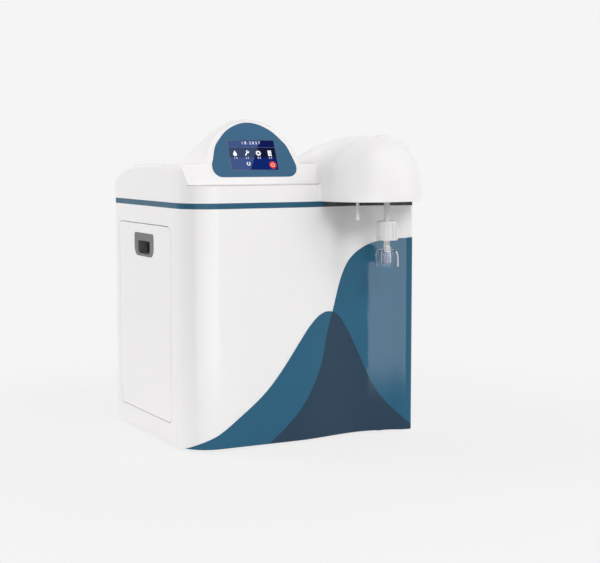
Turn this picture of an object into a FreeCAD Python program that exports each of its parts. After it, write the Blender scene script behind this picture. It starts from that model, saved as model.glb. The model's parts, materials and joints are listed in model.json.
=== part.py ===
import FreeCAD, Part
import math
import os

os.makedirs("parts", exist_ok=True)

Vector = FreeCAD.Vector
X_AXIS = Vector(1, 0, 0)
Y_AXIS = Vector(0, 1, 0)
Z_AXIS = Vector(0, 0, 1)

# Bench-top ultrapure water system. Millimetres, +Z up, the front faces -Y,
# and the origin is under the middle of the whole outline, at bench level.

# Cabinet
WIDTH = 450.0
DEPTH = 360.0
SHELL_HEIGHT = 421.0
FOOT_HEIGHT = 6.0
WALL = 3.0
CORNER_RADIUS = 57.0
EDGE_RADIUS = 6.0
WAVE_DEPTH = 17.6
OVERRUN = 5.0
SEAT_GAP = 0.3

# The front runs flat, then dips in a shallow hollow and comes forward again at the right
FLAT_SHARE = 0.467
HOLLOW_SHARES = ((0.569, 0.28), (0.667, 0.73), (0.773, 1.0), (0.858, 0.68), (0.924, 0.19))
LIP_SHARE = -0.28

# Blue band between the cabinet and the top cover
BAND_HEIGHT = 10.0
BAND_WIDTH = 14.0
DECK_THICKNESS = 1.5
DECK_HOLE_RADIUS = 20.0

# Top cover
COLLAR_HEIGHT = 32.0
LEDGE_RADIUS = 2.6
LEDGE_DEPTH = 24.3
SHOULDER_HEIGHT = 35.0
SHOULDER_RUN = 230.0
SHOULDER_DROP = 23.0
SHOULDER_RADIUS = 9.0
ALONG_SHARE = 0.9
SLOPE_ANGLE = 22.5

# Control pod on the cover
POD_OFFSET = 143.5
POD_HALF_WIDTH = 91.0
POD_SPRING = 30.0
POD_RISE = 84.4
POD_RUN = 190.0
POD_LIP_RADIUS = 5.0
POD_POWER = 1.4

# Dispensing head on the cover
HEAD_HALF_WIDTH = 94.0
HEAD_REACH = 90.0
HEAD_SPRING = 24.0
HEAD_RISE = 94.0
HEAD_RUN = 262.0
HEAD_NOSE_SHARE = 0.55
HEAD_POWER = 3.0
HEAD_PLAN_POWER = 2.25
PLAN_END_SHARE = 0.995
HEAD_PLATE = 3.0
FALL_STEPS = 6
BEND_STEPS = 5
RIB_ANGLES = (6, 20, 36, 54, 72, 90, 108, 126, 144, 160, 174)

# Control panel and screen
PANEL_HALF_WIDTH = 82.5
PANEL_FOOT = 13.4
PANEL_CORNER = 18.0
PANEL_HEIGHT = 103.9
PANEL_THICKNESS = 2.5
PANEL_SEAT = 2.0
PANEL_SHARES = ((0.975, 0.13), (0.9, 0.35), (0.836, 0.494), (0.727, 0.627), (0.588, 0.771), (0.36, 0.915))
SCREEN_WIDTH = 92.5
SCREEN_HEIGHT = 57.0
SCREEN_FOOT = 26.3
SCREEN_CORNER = 1.5
SCREEN_MARGIN = 4.0
SCREEN_DEPTH = 12.0
SCREEN_CUT = 15.0

# Printed film on the front
FILM = 0.35
FILM_BED = 0.15
HILL_HEIGHT = 231.0
HILL_START_SHARE = 0.01
HILL_SHARES = (
    (0.058, 0.052), (0.116, 0.104), (0.202, 0.216), (0.313, 0.385), (0.427, 0.645), (0.484, 0.8),
    (0.544, 0.935), (0.612, 1.0), (0.66, 0.972), (0.696, 0.896), (0.742, 0.745), (0.78, 0.597),
    (0.818, 0.437), (0.858, 0.307), (0.9, 0.212), (0.951, 0.113))
HILL_END_SHARE = 0.03
SWELL_HEIGHT = 362.0
SWELL_START_SHARE = 0.336
SWELL_SHARES = (
    (0.398, 0.058), (0.484, 0.163), (0.53, 0.245), (0.566, 0.33), (0.592, 0.43), (0.612, 0.54),
    (0.638, 0.638), (0.676, 0.79), (0.724, 0.895), (0.776, 0.945), (0.84, 0.979), (0.92, 0.993))

# Service doors, hinged at the bottom, one on each side
DOOR_SETBACK = 84.0
DOOR_WIDTH = 256.0
DOOR_BOTTOM = 36.0
DOOR_HEIGHT = 351.0
DOOR_CORNER = 13.0
DOOR_DEPTH = 14.0
DOOR_SKIN = 2.5
DOOR_GAP = 1.2
HINGE_INSET = 6.0
HINGE_RISE = 20.0
PIN_RADIUS = 2.0
PIN_GRIP = 10.0
RUNNING_GAP = 0.06
LUG_LENGTH = 8.0
LUG_HALF = 5.0
HINGE_BLOCK = 14.0

# Finger pull in each door
PULL_WIDTH = 97.0
PULL_HEIGHT = 43.0
PULL_TOP_RADIUS = 6.0
PULL_FOOT_RADIUS = 17.0
PULL_DROP = 17.0
PULL_FLANGE = 4.0
PULL_FLANGE_THICKNESS = 2.0
PULL_DEPTH = 20.0
PULL_WALL = 2.0
POCKET_WIDTH = 58.0
POCKET_HEIGHT = 24.0
POCKET_LIFT = 10.0
POCKET_DROP = 5.0
POCKET_TOP_RADIUS = 3.0
POCKET_FOOT_RADIUS = 9.0

# Magnetic catches
MAGNET_LENGTH = 22.0
MAGNET_HEIGHT = 8.0
MAGNET_DEPTH = 5.0
MAGNET_SPREAD = 80.0
STRIKE_THICKNESS = 1.5
STRIKE_OVERLAP = 10.0
STRIKE_FOOT = 8.0
STRIKE_RISE = 6.0

# Base tray, feet, rear panel and divider
SHEET = 2.0
TRAY_LIP = 15.0
FOOT_RADIUS = 16.0
FOOT_TAPER = 2.5
FOOT_INSET = 46.0
DIVIDER_SETBACK = 24.0
DIVIDER_FLANGE = 14.0
SCREW_RADIUS = 3.4
SCREW_HEAD = 1.8
SCREW_EDGE = 7.0
SCREW_PITCH = 128.0
SCREW_COUNT = 4

# Cartridges and their twist-lock manifold, behind the left door
CARTRIDGE_RADIUS = 34.0
CARTRIDGE_LENGTH = 225.0
CARTRIDGE_PITCH = 84.0
CARTRIDGE_INSET = 62.0
CARTRIDGE_DOME = 10.0
GRIP_HEIGHT = 34.0
GRIP_RIB = 1.8
GRIP_RIB_WIDTH = 5.0
GRIP_RIBS = 12
NECK_RADIUS = 20.0
NECK_LENGTH = 16.0
LUG_REACH = 4.0
LUG_HEIGHT = 4.0
LUG_ANGLE = 28.0
SLOT_ANGLE = 32.0
NECK_CHAMFER = 1.5
HEAD_CUP_RADIUS = 29.0
HEAD_CUP_HEIGHT = 24.0
LIP_HEIGHT = 5.0
GROOVE_GAP = 0.5
MANIFOLD_BAR_HEIGHT = 16.0
MANIFOLD_BAR_HALF = 17.0
MANIFOLD_TOP = 352.0
BRACKET_HEIGHT = 40.0

# Membrane housings on the divider
MEMBRANE_RADIUS = 31.0
MEMBRANE_LENGTH = 270.0
MEMBRANE_FOOT = 26.0
MEMBRANE_CAP = 22.0
MEMBRANE_CAP_RIM = 2.5
MEMBRANE_STANDOFF = 10.0
CLIP_WALL = 2.5
CLIP_HEIGHT = 18.0
CLIP_SHARES = (0.28, 0.74)
CLIP_MOUTH_SHARE = 0.7

# Pumps behind the right door
PUMP_MOTOR_RADIUS = 44.0
PUMP_MOTOR_LENGTH = 105.0
PUMP_HEAD_RADIUS = 49.0
PUMP_HEAD_LENGTH = 46.0
PUMP_RIM = 8.0
PUMP_FOOT_HEIGHT = 12.0
PUMP_PORT_RADIUS = 7.0
PUMP_PORT_LENGTH = 20.0
PUMP_PORT_SPREAD_SHARE = 0.5
PUMP_PORT_FOOT_SHARE = 0.7
PUMP_NOTCH_SHARE = 0.8
PUMP_CRADLE_SHARE = 0.55
BOOSTER_INSET = 80.0
CIRCULATION_SHARE = 0.72
CIRCULATION_SHIFT = 6.0

# Lamp housing, valves, sensor and electrics on the divider's right face
LAMP_RADIUS = 24.0
LAMP_LENGTH = 300.0
LAMP_CAP = 20.0
LAMP_CAP_RIM = 3.0
LAMP_FOOT = 60.0
LAMP_SETBACK = 66.0
LAMP_STANDOFF = 8.0
LAMP_PORT_RADIUS = 6.5
LAMP_PORT_LENGTH = 18.0
VALVE_WIDTH = 30.0
VALVE_HEIGHT = 26.0
VALVE_LENGTH = 46.0
VALVE_COIL_RADIUS = 17.0
VALVE_COIL_LENGTH = 34.0
VALVE_STANDOFF = 8.0
VALVE_SETBACK = 128.0
VALVE_LEVEL = 196.0
VALVE_PITCH = 66.0
BOARD_WIDTH = 150.0
BOARD_HEIGHT = 110.0
BOARD_THICKNESS = 1.6
BOARD_STANDOFF = 12.0
BOARD_SETBACK = 178.0
BOARD_LEVEL = 280.0
STANDOFF_RADIUS = 3.5
STANDOFF_INSET = 8.0
CHIP_SHARES = (
    (0.12, 0.2, 0.2, 0.3), (0.42, 0.55, 0.22, 0.25), (0.72, 0.15, 0.16, 0.22), (0.72, 0.6, 0.16, 0.2))
CHIP_HEIGHT = 7.0
SUPPLY_LENGTH = 160.0
SUPPLY_HEIGHT = 98.0
SUPPLY_DEPTH = 42.0
SUPPLY_LEVEL = 150.0
SUPPLY_SETBACK = 178.0
SUPPLY_SLOTS = 6
SUPPLY_SLOT_SHARES = (0.05, 0.6)
SUPPLY_SLOT_FOOT_SHARE = 0.2
SENSOR_RADIUS = 13.0
SENSOR_LENGTH = 34.0
SENSOR_TEE = 9.0
SENSOR_TEE_LENGTH = 52.0
SENSOR_LEVEL = 372.0

# Rear fittings
PORT_REACH = 20.0
PORT_RADIUS = 8.0
PORT_BARREL_STEP = 0.6
PORT_PITCH = 44.0
PORT_COUNT = 4
PORT_LEVEL = 62.0
PORT_MIDDLE_SHARE = 0.28
PORT_TAIL = 22.0
PORT_HOLE = 9.0
PORT_FLANGE = 13.0
PORT_FLANGE_THICKNESS = 4.0
PORT_NUT_THICKNESS = 5.0
COLLET_RADIUS = 5.6
COLLET_BORE = 3.25
COLLET_RIM = 6.9
COLLET_RIM_THICKNESS = 1.6
COLLET_PROUD = 3.4
COLLET_LENGTH = 12.0
INLET_WIDTH = 48.0
INLET_HEIGHT = 28.0
INLET_RIM = 1.5
INLET_DEPTH = 26.0
INLET_SOCKET_WIDTH = 24.5
INLET_SOCKET_HEIGHT = 17.0
INLET_SOCKET_DEPTH = 18.0
INLET_CORNER = 5.0
INLET_SIDE = 120.0
INLET_LEVEL = 140.0
BLADE_WIDTH = 2.0
BLADE_HEIGHT = 4.0
BLADE_LENGTH = 14.0
BLADE_SPREAD = 7.0
SWITCH_WIDTH = 21.0
SWITCH_HEIGHT = 28.0
SWITCH_RIM = 1.5
SWITCH_FRAME = 2.5
SWITCH_DEPTH = 20.0
SWITCH_GAP = 0.4
SWITCH_SPREAD = 52.0
ROCKER_TILT = 7.0
ROCKER_PROUD = 2.2
ROCKER_PIN_RADIUS = 1.5
ROCKER_PIN_DEPTH = 6.0
LOUVRE_COUNT = 7
LOUVRE_LENGTH = 90.0
LOUVRE_HEIGHT = 4.0
LOUVRE_PITCH = 12.0
LOUVRE_LEVEL = 270.0
LOUVRE_SIDE = 110.0

# Outlets under the head
OUTLET_SETBACK = 45.0
FILTER_OFFSET = 12.0
TUBE_OFFSET = 49.0
STEM_RADIUS = 5.5
STEM_LENGTH = 35.0
NIPPLE_RADIUS = 4.0
NIPPLE_LENGTH = 12.0
STEM_FLANGE = 11.0
STEM_FLANGE_THICKNESS = 4.0
STEM_BORE = 2.5
STEM_RINGS = 4
STEM_RELIEF = 0.8
TUBE_RADIUS = 2.8
TUBE_LENGTH = 33.0
TUBE_BORE = 1.6
TUBE_BEAD = 3.9
CAP_RADIUS = 17.0
CAP_HEIGHT = 31.5
CAP_RIBS = 14
CAP_RIB = 1.6
CAP_RIB_WIDTH = 3.2
CAP_ROUND = 1.6
SKIRT_RADIUS = 19.4
SKIRT_HEIGHT = 3.0
BARB_RADIUS = 6.0
BARB_LENGTH = 22.0
BARB_STEPS = 3
BARB_RELIEF = 0.9
BELL_RADIUS = 22.0
BELL_HEIGHT = 36.0
BELL_WALL = 1.8
BELL_NECK = 8.0
BELL_NECK_HEIGHT = 4.0
BELL_SHOULDER = 13.0
BELL_GRIP = 10.0
NOZZLE_RADIUS = 9.2
NOZZLE_BORE = 6.6
NOZZLE_LIFT = 6.0
VALVE_BLOCK = 34.0
VALVE_BLOCK_HEIGHT = 30.0

LEFT = -WIDTH / 2
RIGHT = WIDTH / 2
FRONT = HEAD_REACH - (HEAD_REACH + DEPTH + PORT_REACH) / 2
REAR = FRONT + DEPTH
BASE = FOOT_HEIGHT
SHELL_TOP = BASE + SHELL_HEIGHT
BAND_TOP = SHELL_TOP + BAND_HEIGHT
LEDGE = BAND_TOP + COLLAR_HEIGHT
SHOULDER_TOP = LEDGE + SHOULDER_HEIGHT
SLOPE = math.radians(SLOPE_ANGLE)
FLOOR = BASE + SHEET
HEAD_CENTRE = RIGHT - HEAD_HALF_WIDTH
POD_CENTRE = LEFT + POD_OFFSET
DOOR_FRONT = FRONT + DOOR_SETBACK
DOOR_REAR = DOOR_FRONT + DOOR_WIDTH
DOOR_MIDDLE = DOOR_FRONT + DOOR_WIDTH / 2
DOOR_LOW = BASE + DOOR_BOTTOM
DOOR_HIGH = DOOR_LOW + DOOR_HEIGHT
HINGE_LEVEL = DOOR_LOW + HINGE_RISE
SIDES = (("left", -1), ("right", 1))


def box(low, high):
    size = high - low
    return Part.makeBox(size.x, size.y, size.z, low)


def rod(radius, start, axis, length):
    return Part.makeCylinder(radius, length, start, axis)


def pipe(radius, bore, start, axis, length):
    return rod(radius, start, axis, length).cut(rod(bore, start, axis, length))


def join(shapes):
    whole = shapes[0]
    if len(shapes) > 1:
        whole = whole.multiFuse(shapes[1:])
    return whole.removeSplitter()


def group(shapes):
    return Part.makeCompound(shapes)


def save(name, shape):
    shape.exportStep("parts/" + name + ".step")


def face_of(edges):
    return Part.Face(Part.Wire(edges))


def rounded_edges(corners, radii, place):
    """Straight sides and rounded corners; place turns a flat point into one in space."""
    points = [Vector(u, v, 0) for u, v in corners]
    starts, middles, ends = [], [], []
    for index, here in enumerate(points):
        back = (points[index - 1] - here).normalize()
        ahead = (points[(index + 1) % len(points)] - here).normalize()
        half = back.getAngle(ahead) / 2
        inward = (back + ahead).normalize()
        radius = radii[index]
        starts.append(here + back * (radius / math.tan(half)))
        ends.append(here + ahead * (radius / math.tan(half)))
        middles.append(here + inward * (radius / math.sin(half) - radius))
    edges = []
    for index in range(len(points)):
        start, middle, end = (place(p.x, p.y) for p in (starts[index], middles[index], ends[index]))
        following = place(starts[(index + 1) % len(points)].x, starts[(index + 1) % len(points)].y)
        if radii[index] > 0:
            edges.append(Part.Arc(start, middle, end).toShape())
        edges.append(Part.LineSegment(end, following).toShape())
    return edges


def rectangle(u_low, v_low, u_high, v_high):
    return ((u_low, v_low), (u_high, v_low), (u_high, v_high), (u_low, v_high))


def turned(profile, centre):
    """A solid of revolution about a vertical line through centre, from (radius, level) points."""
    points = [centre + Vector(radius, 0, level) for radius, level in profile]
    return Part.Face(Part.makePolygon(points + points[:1])).revolve(centre, Z_AXIS, 360)


def plan_edges(inset, rear):
    """The cabinet's outline from above, drawn in by inset, with its rear edge at rear."""
    low_x = LEFT + inset
    high_x = RIGHT - inset
    front = FRONT + inset
    centre = Vector(LEFT + CORNER_RADIUS, FRONT + CORNER_RADIUS, 0)
    radius = CORNER_RADIUS - inset
    edge = EDGE_RADIUS / (1 + inset / EDGE_RADIUS)
    diagonal = math.sqrt(0.5)
    corner = (
        Vector(low_x, centre.y, 0),
        centre - Vector(radius * diagonal, radius * diagonal, 0),
        Vector(centre.x, front, 0))
    flat_end = Vector(LEFT + FLAT_SHARE * WIDTH, front, 0)
    lip = Vector(high_x - edge, front + LIP_SHARE * WAVE_DEPTH, 0)
    hollow = [Vector(LEFT + x * WIDTH, front + y * WAVE_DEPTH, 0) for x, y in HOLLOW_SHARES]
    curve = Part.BSplineCurve()
    curve.interpolate(Points=[flat_end] + hollow + [lip], InitialTangent=X_AXIS, FinalTangent=X_AXIS)
    turn = lip + Vector(edge * diagonal, edge - edge * diagonal, 0)
    side = Vector(high_x, lip.y + edge, 0)
    right_rear = Vector(high_x, rear, 0)
    left_rear = Vector(low_x, rear, 0)
    return [
        Part.Arc(*corner).toShape(),
        Part.LineSegment(corner[2], flat_end).toShape(),
        curve.toShape(),
        Part.Arc(lip, turn, side).toShape(),
        Part.LineSegment(side, right_rear).toShape(),
        Part.LineSegment(right_rear, left_rear).toShape(),
        Part.LineSegment(left_rear, corner[0]).toShape()]


def plan_block(inset, rear, low, high):
    face = face_of(plan_edges(inset, rear))
    face.translate(Vector(0, 0, low))
    return face.extrude(Vector(0, 0, high - low))


def shoulder_block(inset):
    """The sloped and then level block behind the ledge, seen from the side."""
    slope_shift = inset / math.cos(SLOPE)
    top = SHOULDER_TOP - inset
    foot = LEDGE - COLLAR_HEIGHT / 2
    start = FRONT + LEDGE_DEPTH + slope_shift
    rear = REAR - inset
    fall_start = FRONT + SHOULDER_RUN
    points = [
        Vector(LEFT, start + (foot - LEDGE) * math.tan(SLOPE), foot),
        Vector(LEFT, start + (top - LEDGE) * math.tan(SLOPE), top),
        Vector(LEFT, fall_start, top),
        Vector(LEFT, (fall_start + rear) / 2, top - SHOULDER_DROP / 4),
        Vector(LEFT, rear, top - SHOULDER_DROP),
        Vector(LEFT, rear, foot)]
    edges = [
        Part.LineSegment(points[0], points[1]).toShape(),
        Part.LineSegment(points[1], points[2]).toShape(),
        Part.Arc(points[2], points[3], points[4]).toShape(),
        Part.LineSegment(points[4], points[5]).toShape(),
        Part.LineSegment(points[5], points[0]).toShape()]
    block = face_of(edges).extrude(Vector(WIDTH, 0, 0))
    return block.common(plan_block(inset, rear, foot, SHOULDER_TOP + OVERRUN))


def scoop(centre, half_width, rise, spring, foot, fall_start, fall_end, power, front_at, bend_at, ruled):
    """An arch that runs back and sinks: a loft through upright ribs, each the arch's height there.

    front_at gives the front's place for a level and for the rib's share of the half width, and
    bend_at the level where the front starts to bend and how far it bends back. A ruled form runs
    straight from rib to rib, for a hollow that nobody sees."""
    first = math.cos(math.radians(RIB_ANGLES[0]))
    ribs = []
    for angle in RIB_ANGLES:
        across = -math.cos(math.radians(angle)) / first
        height = math.sin(math.radians(angle))
        x = centre + across * half_width
        top = spring + rise * height
        bend_level, bend_depth = bend_at(height, top, across)
        bend_low = Vector(x, front_at(bend_level, across), bend_level)
        corner = Vector(x, front_at(top, across), top)
        bend_high = corner + Vector(0, bend_depth, 0)
        fall = []
        for step in range(FALL_STEPS + 1):
            share = step / FALL_STEPS
            level = spring + rise * height * (1 - share ** power)
            fall.append(Vector(x, fall_start + share * (fall_end - fall_start), level))
        curve = Part.BSplineCurve()
        curve.interpolate(Points=fall)
        back = Vector(x, fall_end, foot)
        front_foot = Vector(x, front_at(foot, across), foot)
        ribs.append(Part.Wire([
            Part.LineSegment(back, front_foot).toShape(),
            Part.LineSegment(front_foot, bend_low).toShape(),
            quarter_bend(bend_low, corner, bend_high).toShape(),
            Part.LineSegment(bend_high, fall[0]).toShape(),
            curve.toShape(),
            Part.LineSegment(fall[-1], back).toShape()]))
    return Part.makeLoft(ribs, True, ruled)


def quarter_bend(low, corner, high):
    """A quarter of an ellipse that rounds off the corner between its low and its high end."""
    points = []
    for step in range(BEND_STEPS + 1):
        turn = math.radians(90 * step / BEND_STEPS)
        points.append(corner + (low - corner) * (1 - math.sin(turn)) + (high - corner) * (1 - math.cos(turn)))
    curve = Part.BSplineCurve()
    curve.interpolate(Points=points, InitialTangent=corner - low, FinalTangent=high - corner)
    return curve


def head_form(inset, foot, ruled):
    reach = HEAD_REACH - inset

    def reach_at(across):
        return reach * (1 - abs(across) ** HEAD_PLAN_POWER * PLAN_END_SHARE) ** (1 / HEAD_PLAN_POWER)

    def front_at(level, across):
        return FRONT - reach_at(across)

    def bend_at(height, top, across):
        return BAND_TOP + HEAD_PLATE, HEAD_NOSE_SHARE * reach_at(across)

    return scoop(
        HEAD_CENTRE, HEAD_HALF_WIDTH - inset, HEAD_RISE - inset, BAND_TOP + HEAD_SPRING, foot, FRONT,
        FRONT + HEAD_RUN - inset, HEAD_POWER, front_at, bend_at, ruled)


def pod_form(inset, front_inset, foot, ruled):
    shift = front_inset / math.cos(SLOPE)
    start = FRONT + LEDGE_DEPTH + shift
    top = POD_SPRING + POD_RISE - inset

    def front_at(level, across):
        return start + (level - LEDGE) * math.tan(SLOPE)

    def bend_at(height, top, across):
        radius = POD_LIP_RADIUS * height
        return top - radius, radius

    return scoop(
        POD_CENTRE, POD_HALF_WIDTH - inset, POD_RISE - inset, LEDGE + POD_SPRING, foot,
        start + top * math.tan(SLOPE) + 2 * POD_LIP_RADIUS, FRONT + LEDGE_DEPTH + POD_RUN - inset,
        POD_POWER, front_at, bend_at, ruled)


def on_slope(x, up, out):
    """A point by its place across, its distance up the slope and its height above it."""
    y = FRONT + LEDGE_DEPTH + up * math.sin(SLOPE) - out * math.cos(SLOPE)
    z = LEDGE + up * math.cos(SLOPE) + out * math.sin(SLOPE)
    return Vector(x, y, z)


SLOPE_NORMAL = Vector(0, -math.cos(SLOPE), math.sin(SLOPE))


def panel_face(grow, out):
    """The control panel's arched outline on the slope, grown all round, at a height above it."""
    half = PANEL_HALF_WIDTH + grow
    low = PANEL_FOOT - grow
    radius = PANEL_CORNER + grow
    rise = PANEL_HEIGHT - PANEL_CORNER
    side = PANEL_FOOT + PANEL_CORNER
    bend = radius * (1 - math.sqrt(0.5))
    right = [on_slope(POD_CENTRE + half, side, out)]
    for x, y in PANEL_SHARES:
        right.append(on_slope(POD_CENTRE + x * half, side + y * (rise + grow), out))
    left = [Vector(2 * POD_CENTRE - p.x, p.y, p.z) for p in right]
    top = on_slope(POD_CENTRE, side + rise + grow, out)
    up_slope = Vector(0, math.sin(SLOPE), math.cos(SLOPE))
    arch = Part.BSplineCurve()
    arch.interpolate(Points=right + [top] + left[::-1], InitialTangent=up_slope, FinalTangent=up_slope * -1)
    foot_right = on_slope(POD_CENTRE + half - radius, low, out)
    foot_left = on_slope(POD_CENTRE - half + radius, low, out)
    bend_right = on_slope(POD_CENTRE + half - bend, low + bend, out)
    bend_left = on_slope(POD_CENTRE - half + bend, low + bend, out)
    return face_of([
        arch.toShape(),
        Part.Arc(left[0], bend_left, foot_left).toShape(),
        Part.LineSegment(foot_left, foot_right).toShape(),
        Part.Arc(foot_right, bend_right, right[0]).toShape()])


def slope_plate(grow, out, thickness):
    """A rounded rectangle at the screen's place, grown all round, from out and thickness deep."""
    half = SCREEN_WIDTH / 2 + grow
    corners = rectangle(-half, SCREEN_FOOT - grow, half, SCREEN_FOOT + SCREEN_HEIGHT + grow)
    edges = rounded_edges(corners, (SCREEN_CORNER,) * 4, lambda u, v: on_slope(POD_CENTRE + u, v, out))
    return face_of(edges).extrude(SLOPE_NORMAL * -thickness)


def side_plate(side, corners, radii, near, far):
    """A plate on a cabinet side, from near to far below its surface, in (y, z) corners."""
    def place(y, z):
        return Vector(side * (WIDTH / 2 - near), y, z)

    return face_of(rounded_edges(corners, radii, place)).extrude(Vector(-side * (far - near), 0, 0))


def side_box(side, near, far, y_low, y_high, z_low, z_high):
    ends = sorted((side * (WIDTH / 2 - near), side * (WIDTH / 2 - far)))
    return box(Vector(ends[0], y_low, z_low), Vector(ends[1], y_high, z_high))


def door_corners(grow):
    return rectangle(DOOR_FRONT - grow, DOOR_LOW - grow, DOOR_REAR + grow, DOOR_HIGH + grow)


def rear_plate(x, z, width, height, radius, near, far):
    """A rounded plate across the rear, from y near to y far."""
    corners = rectangle(x - width / 2, z - height / 2, x + width / 2, z + height / 2)
    edges = rounded_edges(corners, (radius,) * 4, lambda u, v: Vector(u, near, v))
    return face_of(edges).extrude(Vector(0, far - near, 0))


# Front shell: front and both sides in one moulding, open at the rear
def make_front_shell():
    shell = plan_block(0, REAR, BASE, SHELL_TOP)
    shell = shell.cut(plan_block(WALL, REAR + OVERRUN, BASE - OVERRUN, SHELL_TOP + OVERRUN))
    for _, side in SIDES:
        grown = [DOOR_CORNER + DOOR_GAP] * 4
        shell = shell.cut(side_plate(side, door_corners(DOOR_GAP), grown, -OVERRUN, WALL + OVERRUN))
        for start, end in hinge_lug_spans():
            low, high = HINGE_LEVEL - LUG_HALF, HINGE_LEVEL + LUG_HALF
            lug = side_box(side, WALL, HINGE_INSET + LUG_HALF, start, end, low, high)
            foot = Vector(side * (WIDTH / 2 - HINGE_INSET), start, HINGE_LEVEL)
            bore = rod(PIN_RADIUS, foot, Y_AXIS, end - start)
            shell = shell.fuse(lug).cut(bore)
    save("front_shell", shell.removeSplitter())


def hinge_lug_spans():
    front_end = DOOR_FRONT - DOOR_GAP
    rear_end = DOOR_REAR + DOOR_GAP
    return ((front_end - LUG_LENGTH, front_end), (rear_end, rear_end + LUG_LENGTH))


# Blue band: a ring that carries the top cover
def make_band():
    ring = plan_block(0, REAR, SHELL_TOP, BAND_TOP)
    hole = plan_block(BAND_WIDTH, REAR - BAND_WIDTH, SHELL_TOP - OVERRUN, BAND_TOP + OVERRUN)
    save("band_frame", ring.cut(hole))


# Steel deck inside the cover, over the band
def make_deck():
    deck = plan_block(WALL + SEAT_GAP, REAR - WALL - SEAT_GAP, BAND_TOP, BAND_TOP + DECK_THICKNESS)
    for x in (POD_CENTRE, HEAD_CENTRE):
        start = Vector(x, FRONT + LEDGE_DEPTH + 2 * DECK_HOLE_RADIUS, BAND_TOP - OVERRUN)
        deck = deck.cut(rod(DECK_HOLE_RADIUS, start, Z_AXIS, OVERRUN * 2))
    save("top_deck", deck)


# Top cover: collar, sloped shoulder, control pod and dispensing head in one hollow moulding
def make_top_cover():
    collar = plan_block(0, REAR, BAND_TOP, LEDGE)
    front_edges = [
        e for e in collar.Edges
        if abs(e.CenterOfMass.z - LEDGE) < SEAT_GAP and e.Curve.TypeId == "Part::GeomLine"
        and abs(e.CenterOfMass.y - FRONT) < SEAT_GAP]
    collar = collar.makeFillet(LEDGE_RADIUS, front_edges)
    shoulder = shoulder_block(0)
    along_sides = [
        e for e in shoulder.Edges
        if abs(abs(e.CenterOfMass.x) - WIDTH / 2) < WALL and e.CenterOfMass.z > LEDGE + WALL
        and abs(e.tangentAt(e.FirstParameter).y) > ALONG_SHARE]
    shoulder = shoulder.makeFillet(SHOULDER_RADIUS, along_sides)
    outer = join([collar, shoulder, pod_form(0, 0, LEDGE - WALL, False), head_form(0, BAND_TOP, False)])
    inner = plan_block(WALL, REAR - WALL, BAND_TOP - OVERRUN, LEDGE - WALL)
    outer = outer.cut(inner).cut(shoulder_block(WALL))
    outer = outer.cut(pod_form(WALL, WALL + PANEL_SEAT, LEDGE - WALL - OVERRUN, True))
    outer = outer.cut(head_form(WALL, BAND_TOP - OVERRUN, True))
    outer = outer.cut(panel_face(RUNNING_GAP, -PANEL_SEAT).extrude(SLOPE_NORMAL * (PANEL_SEAT + OVERRUN)))
    outer = outer.cut(slope_plate(-SCREEN_MARGIN + SEAT_GAP, OVERRUN, SCREEN_CUT))
    save("top_cover", outer)


# Plate that closes the head's underside, with holes for the two outlets
def outlet_places():
    y = FRONT - OUTLET_SETBACK
    return Vector(HEAD_CENTRE + FILTER_OFFSET, y, BAND_TOP), Vector(HEAD_CENTRE - TUBE_OFFSET, y, BAND_TOP)


def make_head_plate():
    slab = box(
        Vector(LEFT, FRONT - HEAD_REACH, BAND_TOP),
        Vector(RIGHT, FRONT + WAVE_DEPTH + OVERRUN, BAND_TOP + HEAD_PLATE))
    plate = head_form(WALL + SEAT_GAP, BAND_TOP - OVERRUN, True).common(slab)
    plate = plate.cut(plan_block(-SEAT_GAP, REAR, BAND_TOP - OVERRUN, BAND_TOP + 2 * HEAD_PLATE))
    filter_place, tube_place = outlet_places()
    plate = plate.cut(rod(STEM_RADIUS, filter_place, Z_AXIS, HEAD_PLATE))
    plate = plate.cut(rod(TUBE_RADIUS, tube_place, Z_AXIS, HEAD_PLATE))
    save("head_plate", plate)


# Control panel, screen glass and display module
def make_panel():
    panel = panel_face(0, -PANEL_SEAT).extrude(SLOPE_NORMAL * PANEL_THICKNESS)
    window = slope_plate(0, OVERRUN, OVERRUN + PANEL_SEAT)
    save("control_panel", panel.cut(window))
    glass_low, glass_high = PANEL_THICKNESS - PANEL_SEAT - SEAT_GAP, PANEL_THICKNESS - SEAT_GAP
    save("screen_glass", slope_plate(-SEAT_GAP / 2, glass_low, glass_high))
    save("display_module", slope_plate(-SCREEN_MARGIN, -PANEL_SEAT, SCREEN_DEPTH))


# Printed film: a hill, a swell behind it, and the darker field where they overlap
def film_field(height, start_share, shares, end_share):
    low = FRONT - 2 * OVERRUN
    points = [Vector(LEFT + start_share * WIDTH, low, BASE)]
    points += [Vector(LEFT + x * WIDTH, low, BASE + z * height) for x, z in shares]
    points.append(Vector(RIGHT, low, BASE + end_share * height))
    curve = Part.BSplineCurve()
    curve.interpolate(Points=points)
    corner = Vector(RIGHT, low, BASE)
    edges = [
        curve.toShape(),
        Part.LineSegment(points[-1], corner).toShape(),
        Part.LineSegment(corner, points[0]).toShape()]
    return face_of(edges).extrude(Vector(0, 2 * OVERRUN + CORNER_RADIUS, 0))


def make_films():
    skin = plan_block(-FILM_BED - FILM, REAR, BASE, SHELL_TOP)
    skin = skin.cut(plan_block(-FILM_BED, REAR, BASE, SHELL_TOP))
    hill = film_field(HILL_HEIGHT, HILL_START_SHARE, HILL_SHARES, HILL_END_SHARE)
    swell = film_field(SWELL_HEIGHT, SWELL_START_SHARE, SWELL_SHARES, 1)
    save("film_hill", skin.common(hill.cut(swell)))
    save("film_swell", skin.common(swell.cut(hill)))
    save("film_overlap", skin.common(hill.common(swell)))


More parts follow.
